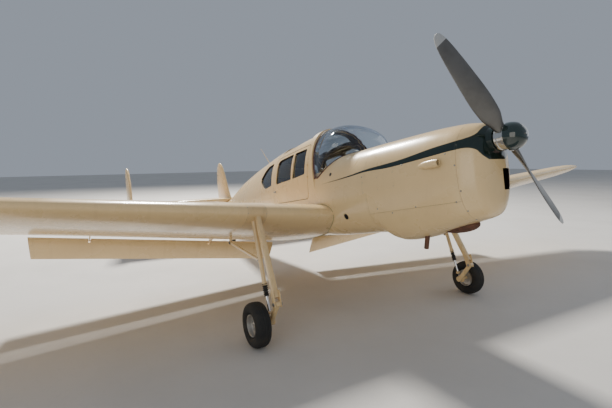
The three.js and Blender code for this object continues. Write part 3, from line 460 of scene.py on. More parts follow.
def newGroup(name, inputs, outputs):
    tree = bpy.data.node_groups.new(name, "ShaderNodeTree")
    for label, kind, value in inputs:
        socket = tree.interface.new_socket(label, in_out="INPUT", socket_type="NodeSocket" + kind)
        if value is not None:
            socket.default_value = value
    for label, kind in outputs:
        tree.interface.new_socket(label, in_out="OUTPUT", socket_type="NodeSocket" + kind)
    return tree, tree.nodes.new("NodeGroupInput").outputs, tree.nodes.new("NodeGroupOutput").inputs


def useGroup(tree, group, sockets=None):
    return put(tree, "Group", sockets, node_tree=group).outputs


def datumGroup():
    # object coordinates seen in the aircraft's own datum, in metres
    tree, given, out = newGroup("datumPlace", [("Place", "Vector", None)], [("Place", "Vector")])
    moved = put(tree, "VectorMath", {0: given["Place"], 1: tuple(shift)}, operation="SUBTRACT").outputs[0]
    forward = put(tree, "VectorMath", {0: moved, 1: (cosPitch, 0, sinPitch)},
                  operation="DOT_PRODUCT").outputs[1]
    up = put(tree, "VectorMath", {0: moved, 1: (-sinPitch, 0, cosPitch)}, operation="DOT_PRODUCT").outputs[1]
    port = put(tree, "SeparateXYZ", {0: moved}).outputs[1]
    tree.links.new(put(tree, "CombineXYZ", {0: forward, 1: port, 2: up}).outputs[0], out["Place"])
    return tree


def weatherGroup():
    # soft cloudy dirt, fine speckle and thin streaks that run down
    tree, given, out = newGroup("weathering", [("Place", "Vector", None), ("Scale", "Float", 1.0)],
                                [("Cloud", "Float"), ("Speckle", "Float"), ("Streak", "Float")])
    place, scale = given["Place"], given["Scale"]
    tree.links.new(ramp(tree, noise(tree, place, scale, 5.0, 0.6), 0.42, 0.68), out["Cloud"])
    speck = noise(tree, place, times(tree, scale, 40.0), 2.0)
    tree.links.new(ramp(tree, speck, 0.6, 0.72), out["Speckle"])
    streak = noise(tree, stretched(tree, place, (14.0, 14.0, 0.9)), scale, 3.0)
    tree.links.new(ramp(tree, streak, 0.55, 0.75), out["Streak"])
    return tree


def wearGroup():
    # bare or pale edges where the surface is sharply convex, broken up by noise
    tree, given, out = newGroup("edgeWear", [("Place", "Vector", None), ("Amount", "Float", 0.5)],
                                [("Mask", "Float")])
    sharp = tree.nodes.new("ShaderNodeNewGeometry").outputs["Pointiness"]
    edge = ramp(tree, sharp, 0.52, 0.6)
    broken = noise(tree, given["Place"], 30.0, 4.0)
    mask = times(tree, edge, ramp(tree, broken, 0.4, 0.7))
    tree.links.new(times(tree, mask, given["Amount"], True), out["Mask"])
    return tree


def linesGroup():
    # thin lines repeated along one coordinate
    tree, given, out = newGroup("repeatedLines", [("Along", "Float", 0.0), ("Spacing", "Float", 0.3),
                                                  ("Half width", "Float", 0.012)], [("Mask", "Float")])
    cell = calc(tree, "DIVIDE", given["Along"], given["Spacing"])
    off = calc(tree, "ABSOLUTE", minus(tree, calc(tree, "FRACT", cell), 0.5))
    away = times(tree, off, given["Spacing"])
    edge = minus(tree, given["Half width"], away)
    soft = calc(tree, "DIVIDE", edge, 0.004)
    tree.links.new(plus(tree, soft, 0.5, True), out["Mask"])
    return tree


def curveSocket(tree, place, rows, low, high):
    # height of a given line of (forward, height) at each forward place, through a smooth curve
    span = rows[-1][0] - rows[0][0]
    share = ramp(tree, place, rows[0][0], rows[-1][0])
    curve = put(tree, "FloatCurve", {"Value": share})
    points = curve.mapping.curves[0].points
    for i, (x, z) in enumerate(rows):
        spot = ((x - rows[0][0]) / span, (z - low) / (high - low))
        if i in (0, len(rows) - 1):
            points[0 if i == 0 else len(points) - 1].location = spot
        else:
            points.new(*spot)
    curve.mapping.update()
    return plus(tree, times(tree, curve.outputs[0], high - low), low)


stripe = dict(
    lower=[(-0.24, 1.519), (0.229, 1.535), (0.552, 1.556), (0.80, 1.553), (1.059, 1.566), (1.288, 1.581),
           (1.466, 1.594), (1.542, 1.597), (1.596, 1.58), (1.621, 1.546), (1.634, 1.518), (1.65, 1.478)],
    upper=[(-0.24, 1.5195), (0.228, 1.549), (0.55, 1.581), (0.94, 1.605), (1.279, 1.648), (1.458, 1.666),
           (1.545, 1.680), (1.59, 1.70), (1.606, 1.755), (1.612, 1.80), (1.65, 1.85)],
    low=1.4, high=1.9, soft=0.0012)


def stripeGroup():
    # one inside the stripe: above its lower line and below its upper line, ahead of its point
    tree, given, out = newGroup("cowlStripe", [("Place", "Vector", None)], [("Mask", "Float")])
    parts = put(tree, "SeparateXYZ", {0: given["Place"]}).outputs
    lower = curveSocket(tree, parts[0], stripe["lower"], stripe["low"], stripe["high"])
    upper = curveSocket(tree, parts[0], stripe["upper"], stripe["low"], stripe["high"])
    soft = stripe["soft"]
    aboveLow = calc(tree, "DIVIDE", minus(tree, parts[2], lower), soft, True)
    belowTop = calc(tree, "DIVIDE", minus(tree, upper, parts[2]), soft, True)
    ahead = calc(tree, "GREATER_THAN", parts[0], stripe["lower"][0][0])
    mask = times(tree, times(tree, aboveLow, belowTop), ahead)
    tree.links.new(mask, out["Mask"])
    return tree


def insideGroup():
    # one on the faces that look in towards the cabin's middle line, between its two ends
    tree, given, out = newGroup("cabinInside", [("Place", "Vector", None), ("Facing", "Vector", None)],
                                [("Mask", "Float")])
    level = put(tree, "VectorMath", {0: given["Facing"], 1: (-sinPitch, 0, cosPitch)},
                operation="DOT_PRODUCT").outputs[1]
    sideways = put(tree, "SeparateXYZ", {0: given["Facing"]}).outputs[1]
    parts = put(tree, "SeparateXYZ", {0: given["Place"]}).outputs
    height = times(tree, minus(tree, parts[2], 1.43), level)
    facing = plus(tree, times(tree, parts[1], sideways), height)
    inward = calc(tree, "LESS_THAN", facing, -0.08)
    ahead = calc(tree, "GREATER_THAN", parts[0], craft["cabinRear"] / 1000 - 0.02)
    tree.links.new(times(tree, inward, ahead), out["Mask"])
    return tree


cabinInside = insideGroup()
datumPlace, weathering, edgeWear, repeatedLines, cowlStripe = (
    datumGroup(), weatherGroup(), wearGroup(), linesGroup(), stripeGroup())


def mixColour(tree, share, a, b, blend="MIX"):
    return put(tree, "Mix", {0: share, 6: a, 7: b}, data_type="RGBA", blend_type=blend).outputs[2]


def newMaterial(name, **constants):
    # a Principled material whose even values sit on the shader's own sockets
    made = bpy.data.materials.new(name)
    made.use_nodes = True
    tree = made.node_tree
    shader = tree.nodes["Principled BSDF"]
    for key, value in constants.items():
        shader.inputs[key.replace("_", " ")].default_value = value
    place = put(tree, "TexCoord").outputs["Object"]
    return made, tree, shader, place


def wireUp(tree, shader, base, rough, height, strength, distance):
    # colour, roughness and a bump from a height
    tree.links.new(base, shader.inputs["Base Color"])
    tree.links.new(rough, shader.inputs["Roughness"])
    made = put(tree, "Bump", {"Height": height, "Strength": strength, "Distance": distance})
    tree.links.new(made.outputs[0], shader.inputs["Normal"])


# cream is the paint's own colour, made more golden and saturated as painted warm light bounced onto the
# shaded sides
colour = dict(cream=(0.80, 0.585, 0.30, 1), creamDirt=(0.40, 0.25, 0.11, 1), lining=(0.035, 0.016, 0.013, 1),
              green=(0.003, 0.014, 0.011, 1), primer=(0.36, 0.33, 0.26, 1), black=(0.012, 0.012, 0.013, 1),
              maroon=(0.075, 0.012, 0.014, 1))


def paintMaterial(name, stripes=False, ribs=None, dirt=0.35, lined=False):
    made, tree, shader, place = newMaterial(name, Metallic=0.0, Coat_Roughness=0.12, IOR=1.5,
                                            Coat_Weight=0.35)
    datum = useGroup(tree, datumPlace, {"Place": place})["Place"]
    weather = useGroup(tree, weathering, {"Place": place, "Scale": 2.2})
    base = mixColour(tree, times(tree, weather["Cloud"], 0.22 * dirt), colour["cream"], colour["creamDirt"])
    base = mixColour(tree, times(tree, weather["Streak"], 0.16 * dirt), base, colour["creamDirt"])
    worn = useGroup(tree, edgeWear, {"Place": place, "Amount": 0.35})["Mask"]
    rough = plus(tree, times(tree, weather["Cloud"], 0.14), 0.24)
    fine = noise(tree, place, 420.0, 2.0)
    height = times(tree, fine, 0.12)
    parts = put(tree, "SeparateXYZ", {0: datum}).outputs
    if ribs:
        tape = useGroup(tree, repeatedLines, {"Along": parts[ribs["axis"]], "Spacing": ribs["spacing"],
                                              "Half width": ribs["half"]})["Mask"]
        base = mixColour(tree, times(tree, tape, 0.06), base, colour["creamDirt"])
        height = plus(tree, height, times(tree, tape, ribs["lift"]))
    if stripes:
        mask = useGroup(tree, cowlStripe, {"Place": datum})["Mask"]
        base = mixColour(tree, mask, base, colour["green"])
        rough = minus(tree, rough, times(tree, mask, 0.12))
        height = plus(tree, height, times(tree, mask, 0.25))
    base = mixColour(tree, worn, base, colour["primer"])
    base = mixColour(tree, times(tree, weather["Speckle"], 0.10 * dirt), base, colour["creamDirt"])
    if lined:
        facing = put(tree, "TexCoord").outputs["Normal"]
        inside = useGroup(tree, cabinInside, {"Place": datum, "Facing": facing})["Mask"]
        base = mixColour(tree, inside, base, colour["lining"])
        rough = plus(tree, rough, times(tree, inside, 0.4))
    wireUp(tree, shader, base, rough, height, 0.25, 0.0006)
    return made


def plainMaterial(name, base, roughness, metallic=0.0, second=None, scale=8.0, grain=260.0, bump=0.2,
                  distance=0.0005, wear=0.3, wearColour=(0.5, 0.5, 0.48, 1), stretch=(1, 1, 1), **constants):
    # a base colour clouded with a second one, grain in its roughness and height, and wear on its edges
    made, tree, shader, place = newMaterial(name, Metallic=metallic, **constants)
    drawn = stretched(tree, place, stretch)
    weather = useGroup(tree, weathering, {"Place": drawn, "Scale": scale})
    shade = mixColour(tree, times(tree, weather["Cloud"], 0.7), base, second or base)
    shade = mixColour(tree, times(tree, weather["Speckle"], 0.3), shade, second or base)
    worn = useGroup(tree, edgeWear, {"Place": place, "Amount": wear})["Mask"]
    shade = mixColour(tree, worn, shade, wearColour)
    fine = noise(tree, drawn, grain, 3.0)
    spread = times(tree, minus(tree, fine, 0.5), 0.25)
    rough = plus(tree, plus(tree, spread, times(tree, weather["Cloud"], 0.1)), roughness, True)
    wireUp(tree, shader, shade, rough, fine, bump, distance)
    return made


def bladeMaterial():
    # satin metal brushed along the blade, with a pale band at each tip
    made, tree, shader, place = newMaterial("bladeMetal", Metallic=0.85)
    datum = useGroup(tree, datumPlace, {"Place": place})["Place"]
    parts = put(tree, "SeparateXYZ", {0: datum}).outputs
    up = minus(tree, parts[2], craft["thrust"] / 1000)
    radius = calc(tree, "SQRT", plus(tree, calc(tree, "POWER", parts[1], 2.0), calc(tree, "POWER", up, 2.0)))
    tip = calc(tree, "GREATER_THAN", radius, 0.893)
    weather = useGroup(tree, weathering, {"Place": place, "Scale": 9.0})
    base = mixColour(tree, times(tree, weather["Cloud"], 0.5), (0.19, 0.185, 0.175, 1),
                     (0.13, 0.125, 0.115, 1))
    base = mixColour(tree, tip, base, (0.62, 0.61, 0.58, 1))
    worn = useGroup(tree, edgeWear, {"Place": place, "Amount": 0.8})["Mask"]
    base = mixColour(tree, worn, base, (0.6, 0.6, 0.6, 1))
    brushed = noise(tree, stretched(tree, place, (600, 60, 60)), 1.0, 3.0)
    wireUp(tree, shader, base, plus(tree, times(tree, brushed, 0.2), 0.32), brushed, 0.12, 0.0003)
    return made


def glassMaterial(name, tint, rim=None, roughness=0.02):
    # clear sheet, with a painted reflection: darker and bluer where it is seen edge on
    made, tree, shader, place = newMaterial(name, Metallic=0.0, IOR=1.45, Transmission_Weight=1.0)
    shader.inputs["Base Color"].default_value = tint
    # painted reflection: the rim colour is mixed in by viewing angle, darker and bluer towards the edge-on
    # faces
    if rim:
        facing = put(tree, "LayerWeight", {"Blend": 0.5}).outputs["Facing"]
        share = ramp(tree, facing, 0.45, 0.92)
        tree.links.new(mixColour(tree, share, tint, rim), shader.inputs["Base Color"])
    smear = noise(tree, place, 6.0, 4.0)
    haze = ramp(tree, smear, 0.5, 0.8, roughness, roughness + 0.05)
    tree.links.new(haze, shader.inputs["Roughness"])
    return made


finish = dict(
    body=paintMaterial("creamWithStripe", stripes=True, lined=True),
    cream=paintMaterial("creamPaint", dirt=0.5, lined=True),
    wing=paintMaterial("creamWing", ribs=dict(axis=1, spacing=0.42, half=0.016, lift=0.8), dirt=0.45),
    tail=paintMaterial("creamTail", ribs=dict(axis=2, spacing=0.24, half=0.012, lift=0.8), dirt=0.4),
    gear=paintMaterial("creamGear", dirt=1.6),
    green=plainMaterial("greenGloss", (0.003, 0.018, 0.014, 1), 0.08, second=(0.002, 0.012, 0.010, 1),
                        bump=0.03, wear=0.15, Coat_Weight=1.0, Coat_Roughness=0.03),
    blade=bladeMaterial(),
    polished=plainMaterial("polishedHub", (0.62, 0.61, 0.58, 1), 0.12, 1.0, (0.45, 0.44, 0.42, 1), bump=0.05),
    steel=plainMaterial("greySteel", (0.32, 0.32, 0.31, 1), 0.36, 1.0, (0.2, 0.19, 0.18, 1)),
    chrome=plainMaterial("chromeRod", (0.75, 0.75, 0.75, 1), 0.06, 1.0, bump=0.02),
    alloy=plainMaterial("castAlloy", (0.52, 0.51, 0.49, 1), 0.38, 0.9, (0.3, 0.28, 0.25, 1), grain=500),
    black=plainMaterial("blackPaint", colour["black"], 0.45, 0.0, (0.03, 0.028, 0.025, 1), wear=0.5),
    rubber=plainMaterial("rubberSeal", (0.02, 0.019, 0.018, 1), 0.7, 0.0, (0.04, 0.036, 0.03, 1), wear=0.1),
    tyre=plainMaterial("tyreRubber", (0.014, 0.014, 0.014, 1), 0.78, 0.0, (0.05, 0.044, 0.036, 1), scale=5,
                       grain=180, bump=0.4, distance=0.0008, wear=0.2, wearColour=(0.1, 0.09, 0.08, 1)),
    tan=plainMaterial("tanSealant", (0.33, 0.17, 0.075, 1), 0.6, second=(0.22, 0.11, 0.05, 1), wear=0.1),
    maroon=plainMaterial("maroonTrim", colour["maroon"], 0.5, 0.0, (0.03, 0.006, 0.006, 1), grain=320,
                         bump=0.5),
    leather=plainMaterial("seatLeather", (0.05, 0.014, 0.011, 1), 0.48, 0.0, (0.025, 0.008, 0.006, 1),
                          scale=12, grain=300, bump=0.6, distance=0.0009, wearColour=(0.12, 0.05, 0.03, 1)),
    panel=plainMaterial("panelBlack", (0.018, 0.017, 0.017, 1), 0.5, 0.0, (0.03, 0.028, 0.026, 1), grain=600),
    dial=plainMaterial("dialMarks", (0.75, 0.74, 0.68, 1), 0.5, wear=0.0),
    rust=plainMaterial("exhaustRust", (0.16, 0.07, 0.042, 1), 0.7, 0.35, (0.06, 0.035, 0.028, 1), scale=30,
                       grain=220, bump=0.8, distance=0.001, wearColour=(0.3, 0.2, 0.14, 1)),
    engine=plainMaterial("engineCasting", (0.05, 0.05, 0.05, 1), 0.6, 0.6, (0.09, 0.08, 0.07, 1), scale=14),
    seal=plainMaterial("seamSealant", (0.34, 0.31, 0.15, 1), 0.6, wear=0.1, second=(0.22, 0.2, 0.1, 1)),
    # each glass's second colour is a painted reflection, taken where the sheet is seen edge on
    screen=glassMaterial("clearScreen", (0.90, 0.94, 0.97, 1), (0.20, 0.33, 0.55, 1)),
    pane=glassMaterial("sidePane", (0.50, 0.54, 0.56, 1), (0.16, 0.22, 0.32, 1)),
    # near black: the dial faces' own colour, and painted shade in the vent's cup
    hole=plainMaterial("darkInside", (0.006, 0.005, 0.004, 1), 0.9, wear=0.0),
)
# the record's slot that each finish belongs to, unless a piece names another
slotLooks = dict(
    cream_paint="body cream wing tail gear", green_paint="green", blade_metal="blade",
    wheel_alloy="polished steel chrome alloy", cabin_dark="black rubber tan maroon dial hole seal",
    seat_leather="leather", hot_steel="rust", tyre_rubber="tyre", clear_panel="screen pane")
slotOf = {look: slot for slot, looks in slotLooks.items() for look in looks.split()}
print("finishes made")

# Camera, light and floor
view = dict(place=(3.4237, -2.8964, 1.737), forward=(-0.8622, 0.4955, -0.1064),
            right=(0.4993, 0.8663, -0.0109), focalPixels=408.0, imageWidth=612.0, sensor=36.0)


def makeCamera():
    data = bpy.data.cameras.new("photoCamera")
    data.sensor_width = view["sensor"]
    data.lens = view["focalPixels"] / view["imageWidth"] * view["sensor"]
    data.clip_start, data.clip_end = 0.05, 200
    made = placed("photoCamera", data)
    back = -unit(view["forward"])
    right = unit(np.array(view["right"]) - back * (np.array(view["right"]) @ back))
    up = np.cross(back, right)
    matrix = Matrix.Identity(4)
    for i, axis in enumerate((right, up, back, np.array(view["place"]) + shift)):
        for row in range(3):
            matrix[row][i] = axis[row]
    made.matrix_world = matrix
    bpy.context.scene.camera = made


lamps = dict(  # name: place, power, size, colour
    sunSide=((-13.6, 1.5, 14.2), 8200, 2.6, (1.0, 0.965, 0.90)),
    cameraSide=((9.0, -10.0, 3.6), 330, 8.0, (1.0, 0.93, 0.82)),
    portSide=((4.0, 11.0, 6.0), 170, 8.0, (0.94, 0.97, 1.0)))


def makeLights():
    for name, (place, power, size, tone) in lamps.items():
        data = bpy.data.lights.new(name, "AREA")
        data.energy, data.size, data.color = power, size, tone
        made = placed(name, data)
        made.location = place
        made.rotation_euler = (Vector((0.5, 0, 1.0)) - Vector(place)).to_track_quat("-Z", "Y").to_euler()
    world = bpy.data.worlds.new("studio")
    world.use_nodes = True
    bpy.context.scene.world = world
    back = world.node_tree.nodes["Background"]
    back.inputs["Color"].default_value = (0.74, 0.83, 0.97, 1)
    back.inputs["Strength"].default_value = 0.4


def makeFloor(half=60.0):
    mesh = bpy.data.meshes.new("paleFloor")
    mesh.from_pydata([(-half, -half, 0), (half, -half, 0), (half, half, 0), (-half, half, 0)], [],
                     [(0, 1, 2, 3)])
    made = placed("paleFloor", mesh)
    surface = plainMaterial("floorSurface", (0.62, 0.60, 0.57, 1), 0.8, second=(0.55, 0.53, 0.50, 1),
                            scale=0.5, grain=60, bump=0.1, wear=0.0)
    mesh.materials.append(surface)


makeCamera()
makeLights()
makeFloor()
print("camera, light and floor placed")

# Cabin
cabin = dict(doorFront=-500, doorRear=-1468, doorBottom=1380, doorTop=2036, doorGap=6.5, roofHalf=306,
             roofFront=-580, roofRear=-1400, ventPlace=(150, 1138), ventRadius=34, paneOuter=16, paneInner=22,
             paneGap=0.5, sideSpan=(150, 800), socketX=-149.4, socketLow=1130, socketRadius=17.6,
             handle=(-1405, 1545))
screen = dict(depth=110, opening=[(-262, 408), (-182, 374), (-148, 343), (-95, 283), (-42, 230), (11, 205),
                                  (38, 150), (50, 60)])
hinges = dict(x=-505, low=(508.6, 1380), high=(432, 2036), heights=(1640, 1780))
windowCorners = dict(
    doorFront=[(-570, 1684, 30), (-575, 1992, 25), (-882, 1988, 20), (-882, 1662, 20)],
    doorRear=[(-928, 1660, 20), (-928, 1987, 20), (-1400, 1968, 70), (-1385, 1645, 40)],
    quarter=[(-1558, 1650, 25), (-1604, 1972, 25), (-1880, 1956, 110), (-2086, 1780, 90), (-1860, 1620, 100)])


def doorOutline(inset):
    c = cabin
    return roundedOutline([(c["doorFront"] - inset, c["doorBottom"] + inset, 60),
                           (c["doorFront"] - inset, c["doorTop"] - inset, 40),
                           (c["doorRear"] + inset, c["doorTop"] - 28 - inset, 60),
                           (c["doorRear"] + inset, c["doorBottom"] + inset, 60)])


def windowOutline(name, inset=0.0):
    return shrunk(roundedOutline(windowCorners[name]), inset)


def behindHoop(forward=0.0):
    (x0, z0), (x1, z1) = craft["hoopFoot"], craft["hoopTop"]
    lean = (x1 - x0) / (z1 - z0)
    at = lambda z: x0 + (z - z0) * lean + forward
    return prism("behindHoop", [(at(500), 500), (at(2800), 2800), (-7000, 2800), (-7000, 500)], -900, 900)


def bubbleRings(xs, angle, grow=0.0):
    # blown screen: superellipse sections about the widest line
    # y = half width * cos^0.9 and z = height * sin^0.9
    halfWidth, top, widest = alongRows(bubbleRows, xs).T[:, :, None]
    c, s = np.cos(angle), np.sin(angle)
    height = np.where(s > 0, top - widest, screen["depth"]) + grow
    y = (halfWidth + grow) * bent(c, 0.9)
    z = widest + height * bent(s, 0.9)
    return np.stack([np.broadcast_to(np.asarray(xs, float)[:, None] + min(grow, 0), y.shape), y, z], -1)


def bubbleSolid(name, grow):
    xs = np.unique(np.concatenate([66 - 150 * np.linspace(0, 1, 30) ** 2, np.linspace(-84, -520, 24)]))
    return loft(name, bubbleRings(xs, roundAngles(144), grow))


def outerRoof():
    return combine(bodySolid("roofPart", roofRows, craft["cabinRear"], craft["roofFront"]), [behindHoop()],
                   "INTERSECT")


def innerRoof():
    return bodySolid("innerRoof", roofRows, craft["innerRear"], craft["roofFront"], -craft["wall"])


def sidePlate(name, outline):
    return prism(name, outline, *cabin["sideSpan"])


def makeCabin():
    shell = combine(bodySolid("cabinSkin", deckRows, craft["deckRear"], craft["firewall"]), [outerRoof()],
                    "UNION")
    inner = bodySolid("innerDeck", deckRows, craft["innerDeckRear"], craft["innerFront"], -craft["wall"])
    combine(inner, [innerRoof()], "UNION")
    combine(inner, [brick("aboveFloor", (-3000, -900, craft["floor"]), (900, 900, 3000))], "INTERSECT")
    edge = np.array(screen["opening"] + [(x, -y) for x, y in screen["opening"][::-1]], float)
    coaming = loft("coamingCut", [np.column_stack([edge, np.full(len(edge), z)]) for z in (1500, 1900)])
    c = cabin
    roofHole = brick("roofHole", (c["roofRear"], -c["roofHalf"], 1960), (c["roofFront"], c["roofHalf"], 2400))
    ventX, ventZ = c["ventPlace"]
    vent = bar("ventCut", (ventX, -400, ventZ), (ventX, -560, ventZ), c["ventRadius"])
    x = c["socketX"]
    socket = bar("columnSocket", (x, 0, c["socketLow"]), (x, 0, craft["floor"] + 5), c["socketRadius"])
    tools = [inner, coaming, roofHole, vent, socket]
    for outline in (doorOutline(0), windowOutline("quarter")):
        tools += both(sidePlate("sideCut", outline))
    combine(shell, tools)
    dress(shell, "airframe", "body", ["cabin_shell"], 30)


def wallLayer(outer, inner):
    return combine(bodySolid("layer", roofRows, -2130, -380, -outer),
                   [bodySolid("layerIn", roofRows, -2200, -330, -inner)])


def makeDoor():
    wall = combine(outerRoof(), [innerRoof()])
    door = combine(wall, [sidePlate("doorPlate", doorOutline(cabin["doorGap"]))], "INTERSECT")
    combine(door, [sidePlate("windowCut", windowOutline(n)) for n in ("doorFront", "doorRear")])
    door.name = "door"
    dressPair(door, "doorSkin", "door", "cream", ["door"], 30)
    (y0, z0), (y1, z1) = hinges["low"], hinges["high"]
    at = lambda z: np.array([hinges["x"], y0 + (y1 - y0) * (z - z0) / (z1 - z0), z])
    barrels = [bar("barrel", at(z - 14), at(z + 14), 8) for z in hinges["heights"]]
    dressPair(joined("hingeBarrels", barrels), "hingeBarrel", "door", "gear")
    p, n = sideNormal(roofRows, *cabin["handle"])
    lever = forging("handleLever", p + n * 9 + [-46, 0, 4], p + n * 9 + [16, 0, -2], (5, 4), (7, 5),
                    power=0.8)
    post = bar("handlePost", p - n * 4, p + n * 10, 6)
    plate = bar("handlePlate", p - n * 3, p + n * 2.5, 15)
    dressPair(joined("doorHandle", [lever, post, plate]), "doorHandle", "door", "steel", slot="cabin_dark")


def paneFrom(name, windows, body, nodes, material):
    c = cabin
    first, *others = [sidePlate("plate", windowOutline(n, c["paneGap"])) for n in windows]
    plates = combine(first, others, "UNION")
    pane = combine(wallLayer(c["paneOuter"], c["paneInner"]), [plates], "INTERSECT")
    dressPair(pane, name, body, material, nodes, 30)


def sealRing(name, outline, lift, radius, body):
    # a bead that lies on the body's side round an opening
    p = onSide(roofRows, outline[:, 0], outline[:, 1], lift)
    keep = np.linalg.norm(p - np.roll(p, 1, 0), axis=1) > 0.5
    p = p[keep]
    tangent = unitRows(np.roll(p, -1, 0) - np.roll(p, 1, 0))
    a = unitRows(np.cross(tangent, [0, 1.0, 0]))
    b = np.cross(tangent, a)
    angle = roundAngles(10)
    swung = np.cos(angle)[None, :, None] * a[:, None] + np.sin(angle)[None, :, None] * b[:, None]
    dressPair(ringLoop(name, p[:, None] + radius * swung), name, body, "rubber")


def makePanes():
    paneFrom("doorPane", ["doorFront", "doorRear"], "door", ["door_glass"], "pane")
    paneFrom("quarterPane", ["quarter"], "airframe", ["quarter_glass"], "pane")
    c = cabin
    gap = c["paneGap"]
    roof = combine(wallLayer(c["paneOuter"], c["paneInner"]), [
        brick("roofPlate", (c["roofRear"] + gap, -c["roofHalf"] + gap, 1960),
              (c["roofFront"] - gap, c["roofHalf"] - gap, 2400))], "INTERSECT")
    roof.name = "roofPane"
    dress(roof, "airframe", "pane", ["roof_glass"])
    for name, body in (("doorFront", "door"), ("doorRear", "door"), ("quarter", "airframe")):
        sealRing(name + "Bead", windowOutline(name, 2.0), -11, 3.2, body)


def makeScreen():
    bubble = combine(bubbleSolid("windscreenBubble", 0), [
        bubbleSolid("bubbleIn", -7), bodySolid("deckCut", deckRows, craft["deckRear"], 1200, 1.0),
        behindHoop(1.0), brick("lowCut", (-600, -900, 0), (900, 900, 1500))])
    dress(bubble, "airframe", "screen", ["windscreen"])


def deckHeight(x, y):
    # upper height of the body at x and y, from its superellipse turned round for z
    halfWidth, _, widest, _ = alongRows(sideRows, x).T
    top, power = alongRows(deckRows, x).T
    share = np.clip(np.abs(y) / halfWidth, 0, 0.9999)
    return widest + (top - widest) * (1 - share ** power) ** (1 / power)


def sillLine(count=160):
    # where the blown screen meets the deck, from the port hoop foot round the front to the other
    xs = 65.8 - 458 * np.linspace(0, 1, count) ** 1.8
    rings = bubbleRings(xs, np.linspace(-np.pi / 2, np.pi / 2, 900))
    deck = deckHeight(np.repeat(xs, 900), rings[..., 1].ravel()).reshape(count, 900)
    first = np.argmax(rings[..., 2] > deck, axis=1)
    port = rings[np.arange(count), first][::-1]
    return np.vstack([port, (port * [1, -1, 1])[::-1]])


def deckNormal(p):
    dx = (deckHeight(p[:, 0] + 2, p[:, 1]) - deckHeight(p[:, 0] - 2, p[:, 1])) / 4
    dy = (deckHeight(p[:, 0], p[:, 1] + 2) - deckHeight(p[:, 0], p[:, 1] - 2)) / 4
    return unitRows(np.stack([-dx, -dy, np.ones(len(p))], -1))


def stripAlong(name, line, normal, profile):
    # a section of (outward, up) points carried along a line that lies on a surface
    out = unitRows(np.cross(unitRows(np.gradient(line, axis=0)), normal))
    return loft(name, np.stack([line + out * a + normal * b for a, b in profile], 1))


def makeScreenSeals():
    sill = sillLine()
    normal = deckNormal(sill)
    band = stripAlong("sillBand", sill, normal, [(2, -2), (2, 3.0), (15, 2.4), (17, 1.0), (17, -2)])
    dress(band, "airframe", "tan")
    bead = stripAlong("sillBead", sill, normal, [(-9, -2), (-9, 4), (-4, 7), (2, 7), (5, 3.5), (5, -2)])
    dress(bead, "airframe", "maroon", (), 60)
    (x0, z0), (x1, z1) = craft["hoopFoot"], craft["hoopTop"]
    angle = np.linspace(-0.04, np.pi + 0.04, 120)
    xs = np.full(120, -440.0)
    for _ in range(12):
        ring = bubbleRings(xs, angle)[np.arange(120), np.arange(120)]
        xs = x0 + (ring[:, 2] - z0) * (x1 - x0) / (z1 - z0)
    centres = np.stack([xs + 14, ring[:, 1], ring[:, 2]], -1)
    out = unitRows(np.cross(np.gradient(centres, axis=0), [-1.0, 0, 0]))
    if out[60][2] < 0:
        out = -out
    section = ((-15, -1.5), (-15, 2.5), (14, 2.0), (16, -1.0), (14, -9), (-15, -9))
    hoop = loft("hoopSeal", np.stack([centres + np.array([1.0, 0, 0]) * a + out * b for a, b in section], 1))
    dress(hoop, "airframe", "maroon")


# Seats, filled out by a short cloth simulation
seats = dict(
    front=dict(side=(37, 368),
               cushion=[(-488, 1240, 20), (-488, 1362, 46), (-856, 1334, 30), (-866, 1240, 20)],
               back=[(-872, 1340, 24), (-990, 1822, 36), (-1060, 1822, 36), (-1002, 1340, 24)],
               base=[(-500, 1141, 15), (-500, 1236, 15), (-1000, 1236, 15), (-1004, 1141, 15)]),
    bench=dict(side=(-328, 328),
               cushion=[(-1438, 1240, 20), (-1438, 1362, 46), (-1696, 1334, 30), (-1706, 1240, 20)],
               back=[(-1712, 1340, 24), (-1830, 1792, 36), (-1900, 1792, 36), (-1842, 1340, 24)],
               base=[(-1450, 1141, 15), (-1450, 1236, 15), (-1840, 1236, 15), (-1844, 1141, 15)]),
    voxel=0.012, cap=0.008, pressure=4.0, frames=16)


def puffed(made):
    # even voxels, a swelling cloth whose points move no further than the cap, then one subdivision
    remesh = made.modifiers.new("even", "REMESH")
    remesh.mode, remesh.voxel_size = "VOXEL", seats["voxel"]
    mesh = settled(made)
    rest = coordinates(mesh)
    cloth = made.modifiers.new("swell", "CLOTH").settings
    cloth.use_pressure, cloth.uniform_pressure_force = True, seats["pressure"]
    cloth.effector_weights.gravity = 0
    for step in range(1, seats["frames"] + 1):
        bpy.context.scene.frame_set(step)
    bpy.context.view_layer.update()
    swollen = made.evaluated_get(bpy.context.evaluated_depsgraph_get())
    moved = coordinates(bpy.data.meshes.new_from_object(swollen)) - rest
    made.modifiers.clear()
    bpy.context.scene.frame_set(1)
    far = np.linalg.norm(moved, axis=1)[:, None]
    rest = rest + moved * np.minimum(1, seats["cap"] / np.maximum(far, 1e-9))
    mesh.vertices.foreach_set("co", rest.ravel())
    smooth = made.modifiers.new("smooth", "SUBSURF")
    smooth.levels = smooth.render_levels = 1
    settled(made)
    return made


def padded(name, outline, side):
    # rings of a rounded outline from side to side, drawn in at both ends, so the pad has soft shoulders
    flat = roundedOutline(outline, 8)
    share = np.array([0.80, 0.93, 0.985, 1, 1, 0.985, 0.93, 0.80])
    y0, y1 = side
    ys = [y0, y0 + 9, y0 + 24, y0 + 45, y1 - 45, y1 - 24, y1 - 9, y1]
    middle = flat.mean(0)
    rings = [np.column_stack([middle[0] + (flat[:, 0] - middle[0]) * k, np.full(len(flat), y),
                              middle[1] + (flat[:, 1] - middle[1]) * k]) for y, k in zip(ys, share)]
    made = puffed(loft(name, rings))
    return made


